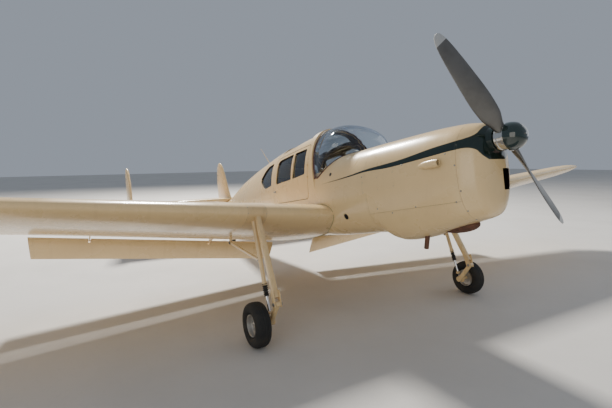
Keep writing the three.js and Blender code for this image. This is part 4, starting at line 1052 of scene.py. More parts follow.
def makeSeats():
    spec = seats["front"]
    cushion, back = (padded(name, spec[key], spec["side"]) for name, key in
                     (("frontCushion", "cushion"), ("frontBack", "back")))
    base = prism("frontSeatBase", roundedOutline(spec["base"]), spec["side"][0] + 8, spec["side"][1] - 8)
    dressPair(base, "frontSeatBase", "airframe", "black", ["front_seat"])
    for made, name in ((cushion, "frontCushion"), (back, "frontBack")):
        dressPair(made, name, "airframe", "leather", ["front_seat"], 60)
    spec = seats["bench"]
    for key in ("cushion", "back"):
        dress(padded("bench" + key.title(), spec[key], spec["side"]), "airframe", "leather",
              ["rear_bench"], 60)
    base = prism("benchBase", roundedOutline(spec["base"]), spec["side"][0] + 8, spec["side"][1] - 8)
    dress(base, "airframe", "black", ["rear_bench"])


dials = dict(spots=[(-330, 1690, 40), (-225, 1700, 40), (-120, 1705, 40), (-225, 1590, 40), (-120, 1595, 40),
                    (120, 1705, 40), (225, 1700, 34), (330, 1690, 34), (0, 1720, 28), (0, 1640, 28)])


def makeDials():
    # round instruments on the panel's cabin face: a ring, a face, marks and a pointer each
    rings, faces, marks = [], [], []
    for k, (y, z, radius) in enumerate(dials["spots"]):
        spot = np.array([0, y, z])
        rings.append(turned("dialRing", [(radius - 5, 0.5), (radius, 0.5), (radius, -5), (radius - 2, -7),
                                         (radius - 5, -6), (radius - 5, 0.5)], spot, (1, 0, 0), 40))
        faces.append(bar("dialFace", (0.5, y, z), (-2, y, z), radius - 4.5))
        for out in spotsRound(np.zeros(3), 1, 12, 0, (0, 1, 0), (0, 0, 1)):
            lifted = spot - [2.4, 0, 0]
            marks.append(bar("mark", lifted + out * (radius - 12), lifted + out * (radius - 6), 0.8, sides=6))
        a = 0.9 + 0.7 * k
        start = spot - [3.2, 0, 0]
        out = np.array([0, math.cos(a), math.sin(a)])
        marks.append(bar("pointer", start, start + out * (radius - 13), 1.0, 0.5, 6))
    dress(joined("dialRings", rings), "airframe", "steel", slot="cabin_dark")
    dress(joined("dialFaces", faces), "airframe", "hole")
    dress(joined("dialMarks", marks), "airframe", "dial")


print("building cabin")
makeCabin()
makeDoor()
makePanes()
makeScreen()
makeScreenSeals()
makeSeats()
makeDials()

# Rear fuselage and nose
nose = dict(split=(1150, 0.043, 656), shaftHole=62, collar=(1600, 1680, 112, 99),
            intake=(1250, 1420, 55, 150),
            outlet=((1165, 30, 985), (235, 105, 72)), blister=((1300, 352, 1512), (150, 26, 34)))


def splitHeight(x):
    z0, slope, x0 = nose["split"]
    return z0 + slope * (np.asarray(x, float) - x0)


def belowSplit(gap):
    xs = np.array([400, 1700])
    z = splitHeight(xs) + gap
    return prism("belowSplit", [(xs[0], z[0]), (xs[1], z[1]), (xs[1], 600), (xs[0], 600)], -700, 700)


def makeRear():
    rear = bodySolid("rearFuselage", roofRows, craft["tailEnd"], craft["cabinRear"] - 0.3)
    dress(rear, "airframe", "cream", ["rear_fuselage"])


def cowlShell():
    seam = craft["seam"]
    shell = bodySolid("cowl", deckRows, craft["firewall"] + seam, craft["bowlJoint"] - seam)
    return combine(shell, [bodySolid("cowlIn", deckRows, 497, 1500, -craft["skin"])])


def makeCowls():
    seam = craft["seam"]
    centre, sizes = nose["blister"]
    blister = ellipsoid("blister", (centre[0], -centre[1], centre[2]), sizes)
    mouth = ellipsoid("mouth", (centre[0] + 12, -centre[1] - 3, centre[2]),
                      (sizes[0] - 8, sizes[1] - 6, sizes[2] - 7))
    keep = brick("blisterZone", (1100, -420, 1400), (1372, -300, 1600))
    combine(blister, [keep], "INTERSECT")
    upper = combine(cowlShell(), [belowSplit(seam / 2)])
    combine(upper, [blister], "UNION")
    mouthZone = brick("mouthZone", (1240, -420, 1400), (1400, -330, 1600))
    combine(mouth, [mouthZone], "INTERSECT")
    combine(upper, [mouth])
    upper.name = "cowlUpperSkin"
    dress(upper, "airframe", "body", ["cowl_upper"], 30)
    lower = combine(cowlShell(), [belowSplit(-seam / 2)], "INTERSECT")
    combine(lower, [bar("exhaustCut", (1000, -100, 1120), (905, -100, 770), 28)])
    lower.name = "cowlLowerSkin"
    dress(lower, "airframe", "cream", ["cowl_lower"], 30)
    place, size = nose["outlet"]
    outlet = combine(ellipsoid("coolingOutletSkin", place, size),
                     [bodySolid("bowlCut", deckRows, 700, 1500, -2)])
    dress(outlet, "airframe", "rust", ["cooling_outlet"])


def makeBowl():
    thrust = craft["thrust"]
    bowl = bodySolid("noseBowlSkin", deckRows, craft["bowlJoint"] + 0.2, craft["noseTip"])
    x0, x1, r0, r1 = nose["collar"]
    combine(bowl, [bar("collar", (x0, 0, thrust), (x1, 0, thrust), r0, r1, 64)], "UNION")
    low, high, y0, y1 = nose["intake"]
    slotCorners = [(1500, low, 6), (1500, high, 6), (1700, high, 6), (1700, low, 6)]
    mouth = prism("intakeCut", roundedOutline(slotCorners, 4), y0, y1)
    inner = bodySolid("bowlIn", deckRows, 1460, 1633, -craft["skin"])
    combine(bowl, [inner, bar("shaftCut", (1500, 0, thrust), (1800, 0, thrust), nose["shaftHole"], sides=48),
                   mouth])
    dress(bowl, "airframe", "body", ["nose_bowl"], 34)


# Small things on the skin, from (x, z) places on its starboard side
details = dict(
    studs=[(968, 1555), (476, 1511), (1397, 1576), (1470, 1473), (1489, 1268), (634, 1188), (803, 1139),
           (1066, 1175), (1437, 1186), (1488, 1107), (1482, 1033)],
    panel=[(467, 1343, 14), (467, 1471, 14), (875, 1523, 14), (875, 1367, 14)],
    panelScrews=[(482, 1358), (482, 1455), (860, 1382), (860, 1506), (670, 1370), (670, 1481)],
    cap=(-54, 1609), capRadius=17)


def studsOn(name, tops, spots, radius, lift, sides=12):
    # low round heads set square to the skin
    made = []
    for x, z in spots:
        p, n = sideNormal(tops, x, z)
        head = [(0, lift), (radius * 0.6, lift), (radius, lift * 0.3), (radius, -3), (0, -3)]
        made.append(turned(name, head, p, n, sides))
    return joined(name, made)


def makeSkinDetails():
    studs = studsOn("cowlStuds", deckRows, details["studs"], 7, 2.5)
    dressPair(studs, "cowlStuds", "airframe", "steel", slot="cabin_dark")
    plate = skinPatch("accessPanel", deckRows, roundedOutline(details["panel"], 8), 1.2, 4)
    dressPair(plate, "accessPanel", "airframe", "cream", (), 30)
    screws = studsOn("panelScrews", deckRows, details["panelScrews"], 4, 2.2)
    dressPair(screws, "panelScrews", "airframe", "steel")
    x, z = details["cap"]
    p, n = sideNormal(deckRows, x, z)
    r = details["capRadius"]
    domed = [(0, 7), (r * 0.5, 7), (r * 0.7, 4), (r, 3), (r + 4, 0), (r + 4, -3), (0, -3)]
    dressPair(turned("tankCap", domed, p, n, 40), "tankCap", "airframe", "black", (), 40)
    (ventX, ventZ), r = cabin["ventPlace"], cabin["ventRadius"]
    p, n = sideNormal(deckRows, ventX, ventZ)
    flange = turned("ventFlange", [(r - 2, 2), (r + 7, 2), (r + 9, 0.5), (r + 9, -3), (r - 2, -3),
                                   (r - 2, 2)], p, n, 48)
    # a near-black cup inside the vent hole: painted shade where the vent's inside lies in shadow
    ventShade = turned("ventPaintedShade", [(r - 2, 1), (r - 0.4, 1), (r - 0.4, -38), (0, -38), (0, -34), (r - 2, -34)],
                   p, n, 48)
    for made, name, look in ((flange, "ventFlange", "gear"), (ventShade, "ventPaintedShade", "hole")):
        other = mirrorTwin(made, name + "Starboard")
        bpy.data.objects.remove(made)
        dress(other, "airframe", look, slot="cabin_dark")


exhaust = dict(start=(1030, -100, 1240), end=(908, -100, 785), radius=22, bore=18.5)


def makeExhaust():
    e = exhaust
    start, end = np.array(e["start"], float), np.array(e["end"], float)
    stub = combine(bar("exhaustPipe", start, end, e["radius"], sides=48),
                   [brick("stubZone", (800, -200, 700), (1200, 0, 1199.7))], "INTERSECT")
    combine(stub, [bar("pipeBore", end + (start - end) * 0.4, end - (start - end) * 0.1, e["bore"],
                       sides=48)])
    dress(stub, "airframe", "rust", ["exhaust_stub"])


print("building nose and rear fuselage")
makeRear()
makeCowls()
makeBowl()
makeSkinDetails()
makeExhaust()

# Propeller and spinner
prop = dict(lean=-43, hubRadius=95, hubRear=1690, hubFront=1772, spinnerRadius=110, spinnerTip=1899,
            studCircle=74)
bladeRows = [  # radius, chord, thickness, pitch in degrees
    [60, 74, 62, 62], [130, 96, 50, 56], [230, 150, 34, 46], [400, 168, 23, 34], [600, 156, 17, 25],
    [780, 132, 12, 20], [900, 100, 9, 17], [950, 62, 7, 16], [965, 22, 5, 16]]


def bladeSolid(name, angle):
    # blade sections: a flat-backed ellipse, turned by the pitch, carried out along the radius
    out = np.array([0, math.sin(angle), math.cos(angle)])
    axis = np.array([1.0, 0, 0])
    across = np.cross(axis, out)
    radii = np.concatenate([np.linspace(60, 880, 44), 965 - 85 * np.linspace(1, 0, 18)[1:] ** 2])
    chord, thick, turn = alongRows(bladeRows, radii).T
    turn = np.radians(turn)[:, None]
    aft = across * np.cos(turn) - axis * np.sin(turn)
    face = across * np.sin(turn) + axis * np.cos(turn)
    a = roundAngles(40)
    swell = np.where(np.sin(a) > 0, 1.2, 0.7) * np.sin(a)
    centre = np.array([craft["propPlane"], 0, craft["thrust"]]) + radii[:, None] * out
    rings = (centre[:, None] + (chord[:, None] / 2 * np.cos(a))[..., None] * aft[:, None]
             + (thick[:, None] / 2 * swell)[..., None] * face[:, None])
    return loft(name, rings)


def makePropeller():
    axis, middle = (1, 0, 0), (0, 0, craft["thrust"])
    lean = math.radians(prop["lean"])
    blades = bladeSolid("propellerBlades", lean)
    combine(blades, [bladeSolid("bladeTwo", lean + math.pi)], "UNION")
    room = bar("spinnerRoom", (prop["hubFront"] - 2, 0, craft["thrust"]),
               (prop["spinnerTip"], 0, craft["thrust"]), prop["spinnerRadius"] + 2, sides=64)
    combine(blades, [room])
    dress(blades, "propeller", "blade", ["propeller"])
    r, back, front = prop["hubRadius"], prop["hubRear"], prop["hubFront"]
    hub = turned("propellerHub", [(0, back), (r - 3, back), (r, back + 3), (r, back + 20), (r - 5, back + 24),
                                  (r - 5, back + 52), (r, back + 56), (r - 1, front - 4),
                                  (r - 8, front - 0.5), (0, front - 0.5)], middle, axis, 96)
    dress(hub, "propeller", "polished", slot="blade_metal")
    head = [(0, back - 7), (7, back - 7), (8, back - 5), (8, back + 2), (0, back + 2)]
    studs = [turned("hubStud", head, spot, axis, 6)
             for spot in spotsRound(np.array(middle), prop["studCircle"], 8, 0.5, (0, 1, 0), (0, 0, 1))]
    dress(joined("hubStuds", studs), "propeller", "steel", slot="blade_metal")
    # dome radius falls as cosine to the power 0.8 while its reach grows as the sine
    a = np.linspace(0, np.pi / 2, 40)
    reach = prop["spinnerTip"] - front - 6.3
    dome = [(0, front + 0.3)] + [(prop["spinnerRadius"] * max(math.cos(t), 0) ** 0.8,
                                  front + 0.3 + reach * math.sin(t)) for t in a]
    spinner = turned("spinnerDome", dome, middle, axis, 96)
    dress(spinner, "propeller", "green", ["spinner"], 60)
    ring = turned("spinnerBack", [(60, front - 1), (109.5, front - 1), (110.5, front + 1), (110.4, front + 5),
                                  (108.9, front + 6), (60, front + 6), (60, front - 1)], middle, axis, 96)
    dress(ring, "propeller", "polished", slot="blade_metal")
    bolt = [(0, 1884), (11, 1885), (11, 1892), (8, 1893), (8, 1898), (5, 1898.8), (0, 1898.8)]
    dress(turned("spinnerBolt", bolt, middle, axis, 24), "propeller", "polished", slot="blade_metal")


print("building propeller")
makePropeller()

# Wings
wing = dict(leadX=-29, leadZ=1140, sweep=-0.062, dihedral=0.0992, trailX=-1900, trailSweep=0.0455,
            incidence=0.1713, twist=6.4e-6, camber=0.014, thickRoot=0.185, thickTip=0.127, root=300,
            tip=5510, skinPoints=34)
tipRows = [  # y, leading edge inset, trailing edge inset, share of thickness
    [300, 0, 0, 1], [4700, 0, 0, 1], [5000, 8, 55, 0.97], [5250, 50, 185, 0.86], [5400, 120, 330, 0.68],
    [5480, 215, 500, 0.42], [5510, 330, 680, 0.12]]
aileron = dict(start=3450, stop=4950, chord=300, rise=12, halves=(47, 39))
flap = dict(start=360, stop=3350, chord=313, droop=53, below=25, brackets=(620, 1320, 2750), hingeBack=26)
swingGap = 7.0


def foilRings(lead, trail, up, ratio, camber=0.0, grow=0.0, count=26):
    # four-digit aerofoil thickness over a parabolic mean line, points bunched at the nose by a cosine
    lead, trail = np.atleast_2d(lead).astype(float), np.atleast_2d(trail).astype(float)
    ratio = np.broadcast_to(np.asarray(ratio, float), (len(lead),))
    chord = np.linalg.norm(trail - lead, axis=1)
    along = unitRows(trail - lead)
    x = (1 - np.cos(np.linspace(0, np.pi, count))) / 2
    half = 5 * (0.2969 * np.sqrt(x) - 0.126 * x - 0.3516 * x ** 2 + 0.2843 * x ** 3 - 0.1036 * x ** 4)
    half = half[None] * (ratio * chord)[:, None] + np.where(x < 1, grow, 0)[None]
    mean = camber * 4 * x * (1 - x) * chord[:, None]
    reach = x[None] * chord[:, None] + (x - 0.5) * 2 * grow
    place = lambda sign: (lead[:, None] + reach[..., None] * along[:, None]
                          + (mean + sign * half)[..., None] * np.asarray(up, float))
    upper, lower = place(1), place(-1)
    return np.concatenate([upper, lower[:, -2:0:-1]], 1)


def wingEdges(y):
    y = np.asarray(y, float)
    w = wing
    leadX = w["leadX"] + w["sweep"] * y
    leadZ = w["leadZ"] + w["dihedral"] * y
    trailX = w["trailX"] + w["trailSweep"] * y
    trailZ = leadZ - (leadX - trailX) * (w["incidence"] - w["twist"] * y)
    return np.stack([leadX, y, leadZ], -1), np.stack([trailX, y, trailZ], -1)


def wingRings(ys, grow=0.0, count=26):
    ys = np.asarray(ys, float)
    lead, trail = wingEdges(ys)
    along = unitRows(trail - lead)
    leadInset, trailInset, share = alongRows(tipRows, ys).T
    ratio = (wing["thickRoot"] + (wing["thickTip"] - wing["thickRoot"]) * ys / wing["tip"]) * share
    start, end = lead + along * leadInset[:, None], trail - along * trailInset[:, None]
    start[:, 1], end[:, 1] = ys, ys
    return foilRings(start, end, (0, 0, 1), ratio, wing["camber"], grow, count)


def surfaceFrame(ends, upward):
    # hinge line, the direction across it, and the two ends squared to it
    hinge0, hinge1 = np.array(ends[0]["hinge"], float), np.array(ends[1]["hinge"], float)
    line = unit(hinge1 - hinge0)
    squared = lambda d: d - line * (d @ line)
    across = unit(squared(np.asarray(upward, float)))
    made = [dict(hinge=hinge, half=e["half"], trail=hinge + squared(np.array(e["trail"], float) - hinge))
            for hinge, e in zip((hinge0, hinge1), ends)]
    return line, across, made


def noseRing(end, across, room, arcSteps=17):
    # a round nose about the hinge, then straight faces to a thin trailing edge
    back = end["trail"] - end["hinge"]
    chord = np.linalg.norm(back)
    back = back / chord
    noseHalf = end["half"] + room
    reach, tail = (chord + 400, noseHalf) if room else (chord, 2.5)
    angle = np.radians(np.linspace(-90, 90, arcSteps))
    arc = (end["hinge"] - back * (noseHalf * np.cos(angle))[:, None]
           + across * (noseHalf * np.sin(angle))[:, None])
    t = np.linspace(0, 1, 12)[1:, None]
    top = arc[-1] * (1 - t) + (end["hinge"] + back * reach + across * tail) * t
    low = arc[0] * (1 - t) + (end["hinge"] + back * reach - across * tail) * t
    return np.vstack([arc, top, low[::-1]])


def squareBlock(name, centre, backward, line, upward, span, halfLine, halfUp):
    line = unit(line)
    up = unit(np.asarray(upward, float) - line * (np.asarray(upward, float) @ line))
    back = np.cross(line, up)
    if back @ np.asarray(backward, float) < 0:
        back = -back
    rings = [[np.asarray(centre, float) + back * d + line * i * halfLine + up * j * halfUp
              for i, j in ((1, 1), (-1, 1), (-1, -1), (1, -1))] for d in span]
    return loft(name, rings)


def surfaceParts(name, ends, upward, lugs):
    # moving blade, the room its carrier leaves, and the hinge arms that reach into its slots
    line, across, ends = surfaceFrame(ends, upward)
    between = lambda a, b, t: {key: a[key] * (1 - t) + b[key] * t for key in ("hinge", "trail", "half")}
    blade = loft(name, [noseRing(between(ends[0], ends[1], t), across, 0) for t in np.linspace(0, 1, 17)])
    grown = [dict(e, hinge=e["hinge"] + line * s, trail=e["trail"] + line * s)
             for e, s in zip(ends, (-swingGap, swingGap))]
    room = loft(name + "Room", [noseRing(e, across, swingGap) for e in grown])
    arms = []
    back = unit(ends[0]["trail"] - ends[0]["hinge"])
    for at, reach in lugs:
        e = between(ends[0], ends[1], at)
        slot = squareBlock("slot", e["hinge"], back, line, across, (-e["half"] - 20, 24), 6 + swingGap,
                           e["half"] + 60)
        combine(blade, [slot])
        arms.append(squareBlock("arm", e["hinge"], back, line, across, (-reach, 9), 6,
                                min(e["half"] * 0.6, 16)))
        arms.append(bar("pin", e["hinge"] - line * 12.5, e["hinge"] + line * 12.5, 7))
    return blade, room, arms


def aileronEnd(y, half):
    lead, trail = wingEdges(y)
    hinge = trail - unit(trail - lead) * aileron["chord"] + np.array([0, 0, aileron["rise"]])
    return dict(hinge=hinge, trail=trail, half=half)


droop = math.radians(flap["droop"])
flapBack = np.array([-math.cos(droop), 0, -math.sin(droop)])
flapUp = np.array([-math.sin(droop), 0, math.cos(droop)])


def flapLead(y):
    return wingEdges(y)[1] + np.array([-18, 0, -flap["below"]])


def makeWing():
    ys = np.unique(np.concatenate([np.linspace(wing["root"], 4700, 34), np.linspace(4700, 5300, 14),
                                   5510 - 210 * np.linspace(1, 0, 16) ** 1.7]))
    skin = loft("wingSkin", wingRings(ys, 0, wing["skinPoints"]))
    ends = [aileronEnd(y, half) for y, half in zip((aileron["start"], aileron["stop"]), aileron["halves"])]
    blade, room, arms = surfaceParts("aileronSkin", ends, (0, 0, 1), [(0.15, 70), (0.85, 70)])
    body = combine(bodySolid("bodyCutA", deckRows, craft["deckRear"], 1200, -3), [
        bodySolid("bodyCutB", roofRows, craft["tailEnd"], craft["roofFront"], -3)], "UNION")
    combine(skin, [body, room])
    dressPair(skin, "wingSkin", "airframe", "wing", ["wing"], 35)
    dressPair(joined("aileronArms", arms), "aileronArm", "airframe", "gear")
    dressPair(blade, "aileronSkin", "aileron", "wing", ["aileron"], 35)


def makeFlap():
    ys = np.linspace(flap["start"], flap["stop"], 30)
    lead = np.array([flapLead(y) for y in ys])
    blade = loft("flapSkin", foilRings(lead, lead + flapBack * flap["chord"], flapUp, 0.13, 0, 0, 22))
    hingeAt = lambda y: flapLead(y) + flapBack * flap["hingeBack"]
    line = unit(hingeAt(flap["stop"]) - hingeAt(flap["start"]))
    arms = []
    for y in flap["brackets"]:
        hinge = hingeAt(y)
        combine(blade, [squareBlock("slot", hinge, flapBack, line, flapUp, (-60, 24), 6 + swingGap, 60)])
        lead0, trail0 = wingEdges(y)
        root = trail0 - unit(trail0 - lead0) * 150
        corners = [(hinge[0] - 9, hinge[2] - 9, 4), (hinge[0] + 16, hinge[2] - 12, 8),
                   (root[0] + 60, root[2] - 14, 12), (root[0] - 70, root[2] + 2, 8),
                   (hinge[0] - 9, hinge[2] + 12, 6)]
        arms.append(prism("bracket", roundedOutline(corners, 6), y - 6, y + 6))
        arms.append(bar("bracketPin", hinge - line * 12.5, hinge + line * 12.5, 6))
    dressPair(joined("flapBrackets", arms), "flapBracket", "airframe", "gear")
    dressPair(blade, "flapSkin", "flap", "wing", ["flap"], 35)


wingDetails = dict(panelSpan=(1205, 1410), panelFrom=6, panelTo=55, count=34)


def makeWingDetails():
    w = wingDetails
    y0, y1 = w["panelSpan"]
    ys = np.linspace(y0, y1, 6)
    size = 2 * w["count"] - 2
    under = np.arange(w["panelTo"], size + w["panelFrom"]) % size
    outer, inner = wingRings(ys, 0.9, w["count"])[:, under], wingRings(ys, -1.5, w["count"])[:, under]
    plate = loft("legPanel", np.concatenate([outer, inner[:, ::-1]], 1))
    dressPair(plate, "legPanel", "airframe", "gear", (), 30)
    screws = []
    for y in (y0 + 7, y1 - 7):
        ring, far = wingRings([y], 0.9, w["count"])[0], wingRings([y], 5, w["count"])[0]
        for k in under[1:-1:3]:
            n = unit(far[k] - ring[k])
            screws.append(turned("screw", [(0, 1), (2.4, 1), (4, 0.3), (4, -2), (0, -2)], ring[k], n, 8))
    dressPair(joined("legPanelScrews", screws), "legPanelScrews", "airframe", "steel")
    # sealant where the wing meets the body: each chordwise point slid out until it leaves the body's side
    spans = np.linspace(300, 520, 220)
    rings = wingRings(spans, 0, 60)
    seam = []
    for k in range(rings.shape[1]):
        line = rings[:, k]
        tops = deckRows if line[0, 0] > craft["deckRear"] else roofRows
        skin = onSide(tops, line[:, 0], line[:, 2], -1)[:, 1]
        free = np.argmax(line[:, 1] > skin)
        seam.append(line[free])
    dressPair(pipe("rootSeal", np.array(seam[1:58]), 4.0, 10), "rootSealUpper", "airframe", "seal")
    dressPair(pipe("rootSeal", np.array(seam[62:]), 4.0, 10), "rootSealLower", "airframe", "seal")


print("building wings")
makeWing()
makeFlap()
makeWingDetails()

# Tail
tail = dict(z=1682, lead=-4560, sweep=-0.05, trail=-5400, hinge=-5080, tip=1905, finY=1924, rudderHinge=-5130,
            finHalf=36, finSpan=(1182, 2445), elevatorSpan=(132, 1850), rudderSpan=(1240, 2385))
endFinRows = [  # z, leading edge, trailing edge
    [1182, -5010, -5130], [1200, -4940, -5200], [1245, -4860, -5280], [1350, -4760, -5352],
    [1550, -4685, -5402], [1800, -4675, -5420], [2050, -4745, -5414], [2250, -4862, -5372],
    [2370, -4958, -5310], [2425, -5030, -5255], [2445, -5100, -5185]]
centreFinRows = [[1690, -4545, -5385], [1900, -4690, -5412], [2100, -4790, -5414], [2300, -4900, -5380],
                 [2430, -4985, -5325], [2505, -5058, -5260], [2532, -5120, -5190]]


def finSolid(name, rows, zs, y, half, grow=0.0):
    lead, trail = alongRows(rows, zs).T
    chord = lead - trail
    a = np.stack([lead, np.full(len(zs), y), zs], -1)
    b = np.stack([trail, np.full(len(zs), y), zs], -1)
    return loft(name, foilRings(a, b, (0, 1, 0), half * 2 / np.maximum(chord, 420), 0, grow, 24))


def finHeights(low, high, ends):
    # closer together towards the two round ends
    t = np.linspace(0, 1, ends) ** 1.8
    middle = np.linspace(low + 90, high - 90, 26)
    return np.unique(np.round(np.concatenate([low + 90 * t, middle, high - 90 * t]), 2))


def tailplaneSolid(name):
    ys = np.concatenate([np.linspace(-tail["tip"], -140, 14), np.linspace(-70, 70, 3),
                         np.linspace(140, tail["tip"], 14)])
    lead = np.stack([tail["lead"] + tail["sweep"] * np.abs(ys), ys, np.full(len(ys), tail["z"])], -1)
    trail = np.stack([np.full(len(ys), tail["trail"]), ys, np.full(len(ys), tail["z"])], -1)
    return loft(name, foilRings(lead, trail, (0, 0, 1), 0.12, 0, 0, 26))


def makeTail():
    z, hinge = tail["z"], tail["hinge"]
    ends = [dict(hinge=(hinge, y, z), trail=(tail["trail"], y, z), half=32) for y in tail["elevatorSpan"]]
    elevator, elevatorRoom, elevatorArms = surfaceParts("elevatorSkin", ends, (0, 0, 1),
                                                        [(0.1, 60), (0.8, 60)])
    bevel = np.array([(-5040, 1900), (-5110, 1846), (-5500, 1610), (-5500, 1900)], float)
    cutter = loft("tipBevel", [np.stack([bevel[:, 0], bevel[:, 1], np.full(4, h)], -1) for h in (1500, 1900)])
    combine(elevator, [cutter])
    finY, rudderX = tail["finY"], tail["rudderHinge"]
    ends = [dict(hinge=(rudderX, finY, h), trail=(-5470, finY, h), half=27) for h in tail["rudderSpan"]]
    rudder, rudderRoom, rudderArms = surfaceParts("rudderSkin", ends, (0, 1, 0), [(0.14, 90), (0.8, 90)])
    zs = finHeights(*tail["finSpan"], 10)
    shape = combine(finSolid("finShape", endFinRows, zs, finY, tail["finHalf"]),
                    [bar("rudderPost", (rudderX, finY, 1150), (rudderX, finY, 2480), 26)], "UNION")
    low, high = tail["rudderSpan"]
    combine(rudder, [shape, brick("rudderZone", (-6000, 1800, low), (-5000, 2100, high))], "INTERSECT")
    fin = finSolid("endFinSkin", endFinRows, zs, finY, tail["finHalf"])
    tipRoom = brick("tipRoom", (-5600, 1800, 1500), (hinge - 40, finY - 46, 1900))
    plane = tailplaneSolid("tailplaneSkin")
    planeCuts = both(twin(elevatorRoom, "planeRoom")) + both(twin(rudderRoom, "planeRudderRoom"))
    planeCuts += both(brick("planeEnd", (-5600, 1700, 1500), (hinge - 30, 1960, 1900)))
    combine(plane, planeCuts)
    combine(fin, [rudderRoom, tipRoom])
    bpy.data.objects.remove(elevatorRoom)
    dress(plane, "airframe", "tail", ["tailplane"], 35)
    dressPair(joined("elevatorArms", elevatorArms), "elevatorArm", "airframe", "gear")
    dressPair(elevator, "elevatorSkin", "elevator", "wing", ["elevator"], 35)
    dressPair(fin, "endFinSkin", "airframe", "tail", ["end_fin"], 35)
    dressPair(joined("rudderArms", rudderArms), "rudderArm", "airframe", "gear")
    dressPair(rudder, "rudderSkin", "rudder", "tail", ["rudder"], 35)
    centre = finSolid("centreFinSkin", centreFinRows, np.unique(np.concatenate([
        np.linspace(1660, 2420, 20), 2532 - 112 * np.linspace(1, 0, 12) ** 1.8])), 0, 40)
    dress(centre, "airframe", "tail", ["centre_fin"], 35)


print("building tail")
makeTail()

# Landing gear
gear = dict(wheelRadius=211.3, rim=105, width=150, halfTrack=1475, legY=1326, knuckle=(146, 427), axle=20,
            axleUp=213, axleTip=12, legTop=(-358, 1192, 1293), legFoot=(118, 478), strutFoot=(-32, 290),
            strutTop=(-385, 1138, 1322), braceFront=(-250, 755, 1324), braceRear=(-1090, 790),
            braceLug=(-1075, 960))


def gearAt(forward, up, y=gear["legY"]):
    return parked(forward, y, up)


def across(p, half):
    side = np.array([0, half, 0])
    return p - side, p + side


def clippedUnder(piece):
    # the piece ends where the wing above it begins
    near = wingRings(np.linspace(1100, 1500, 9), 0, wing["skinPoints"])
    return combine(piece, [loft("wingUnder", near)])


def makeLeg():
    knuckle = gearAt(*gear["knuckle"])
    axleEnd = parked(0, gear["legY"], gear["axleUp"])
    legTop, legFoot = gearAt(*gear["legTop"]), gearAt(*gear["legFoot"])
    leg = forging("mainLegSkin", legTop, legFoot, (37, 27), (31, 27))
    for s in (-1, 1):
        y = gear["legY"] + s * 31
        combine(leg, [forging("cheek", gearAt(96, 545, y), gearAt(149, 398, y), (34, 7), (26, 7), power=0.7)],
                "UNION")
    clippedUnder(leg)
    dressPair(leg, "mainLegSkin", "airframe", "gear", ["main_leg"], 35)
    bolt = joined("kneeBolt", [bar("shank", *across(knuckle, 43), 12),
                               bar("head", knuckle + [0, 38, 0], knuckle + [0, 46, 0], 18, sides=6),
                               bar("nut", knuckle - [0, 46, 0], knuckle - [0, 38, 0], 18, sides=6)])
    dressPair(bolt, "kneeBolt", "airframe", "steel")
    arm = bar("trailingArmSkin", *across(knuckle, 22), 27, sides=48)
    parts = [forging("armBeam", knuckle, axleEnd, (22, 20), (26, 22)),
             bar("axleBoss", *across(axleEnd, 30), 34, sides=48),
             bar("axle", axleEnd, (axleEnd[0], gear["halfTrack"] + gear["axleTip"], axleEnd[2]),
                 gear["axle"]),
             bar("brakePlate", axleEnd + [0, 25, 0], axleEnd + [0, 36, 0], 46, sides=48)]
    combine(arm, parts, "UNION")
    dressPair(arm, "trailingArmSkin", "airframe", "gear", ["trailing_arm"], 35)


def makeStrut():
    foot, top = gearAt(*gear["strutFoot"]), gearAt(*gear["strutTop"])
    at = lambda t: foot * (1 - t) + top * t
    rod = bar("shockStrutRod", foot, at(0.2), 13, sides=32)
    dressPair(rod, "shockStrutRod", "airframe", "chrome")
    gaiter = pipe("strutGaiter", [at(t) for t in np.linspace(0.17, 0.30, 41)],
                  24 + 4.5 * np.cos(np.linspace(0, 12 * np.pi, 41)), 32)
    dressPair(gaiter, "strutGaiter", "airframe", "black")
    tube = bar("shockStrutSkin", at(0.28), top, 22, sides=40)
    collar = bar("strutCollar", at(0.30), at(0.325), 26, sides=40)
    combine(tube, [collar, bar("footEye", *across(foot, 20), 17)], "UNION")
    clippedUnder(tube)
    dressPair(tube, "shockStrutSkin", "airframe", "gear", ["shock_strut"], 35)


def makeBrace():
    front, end = gearAt(*gear["braceFront"]), gearAt(*gear["braceRear"])
    brace = forging("dragBraceSkin", front, end, (17, 10), (15, 9), power=0.75)
    combine(brace, [bar("frontEye", *across(front, 16), 20), bar("rearEye", *across(end, 14), 18),
                    forging("lug", end, gearAt(*gear["braceLug"]), (16, 12), (34, 12))], "UNION")
    clippedUnder(brace)
    dressPair(brace, "dragBraceSkin", "airframe", "gear", ["drag_brace"], 35)
    fitting = joined("braceBolt", [bar("bolt", *across(end, 18), 9), bar("boltFront", *across(front, 20), 9),
                                   bar("block", *across(end, 15), 19.5, sides=24)])
    dressPair(fitting, "braceBolt", "airframe", "black")


def tyreSolid(name, centre, radius, rim, halfWidth, grooves, sides=96, steps=132, blunt=(0.8, 0.7)):
    # section: a blunted ring about the bead, with grooves pressed in across the tread
    a = roundAngles(steps)
    middle, reach = (radius + rim) / 2, (radius - rim) / 2
    r = middle + reach * bent(np.cos(a), blunt[0])
    d = halfWidth * bent(np.sin(a), blunt[1])
    tread = np.cos(a) > 0.2
    for groove in grooves:
        r = r - np.where(tread, 4.5 * np.exp(-((d - groove) / 3.0) ** 4), 0)
    profile = np.stack([r, d], -1)
    return turned(name, np.vstack([profile, profile[:1]]), centre, (0, 1, 0), sides)


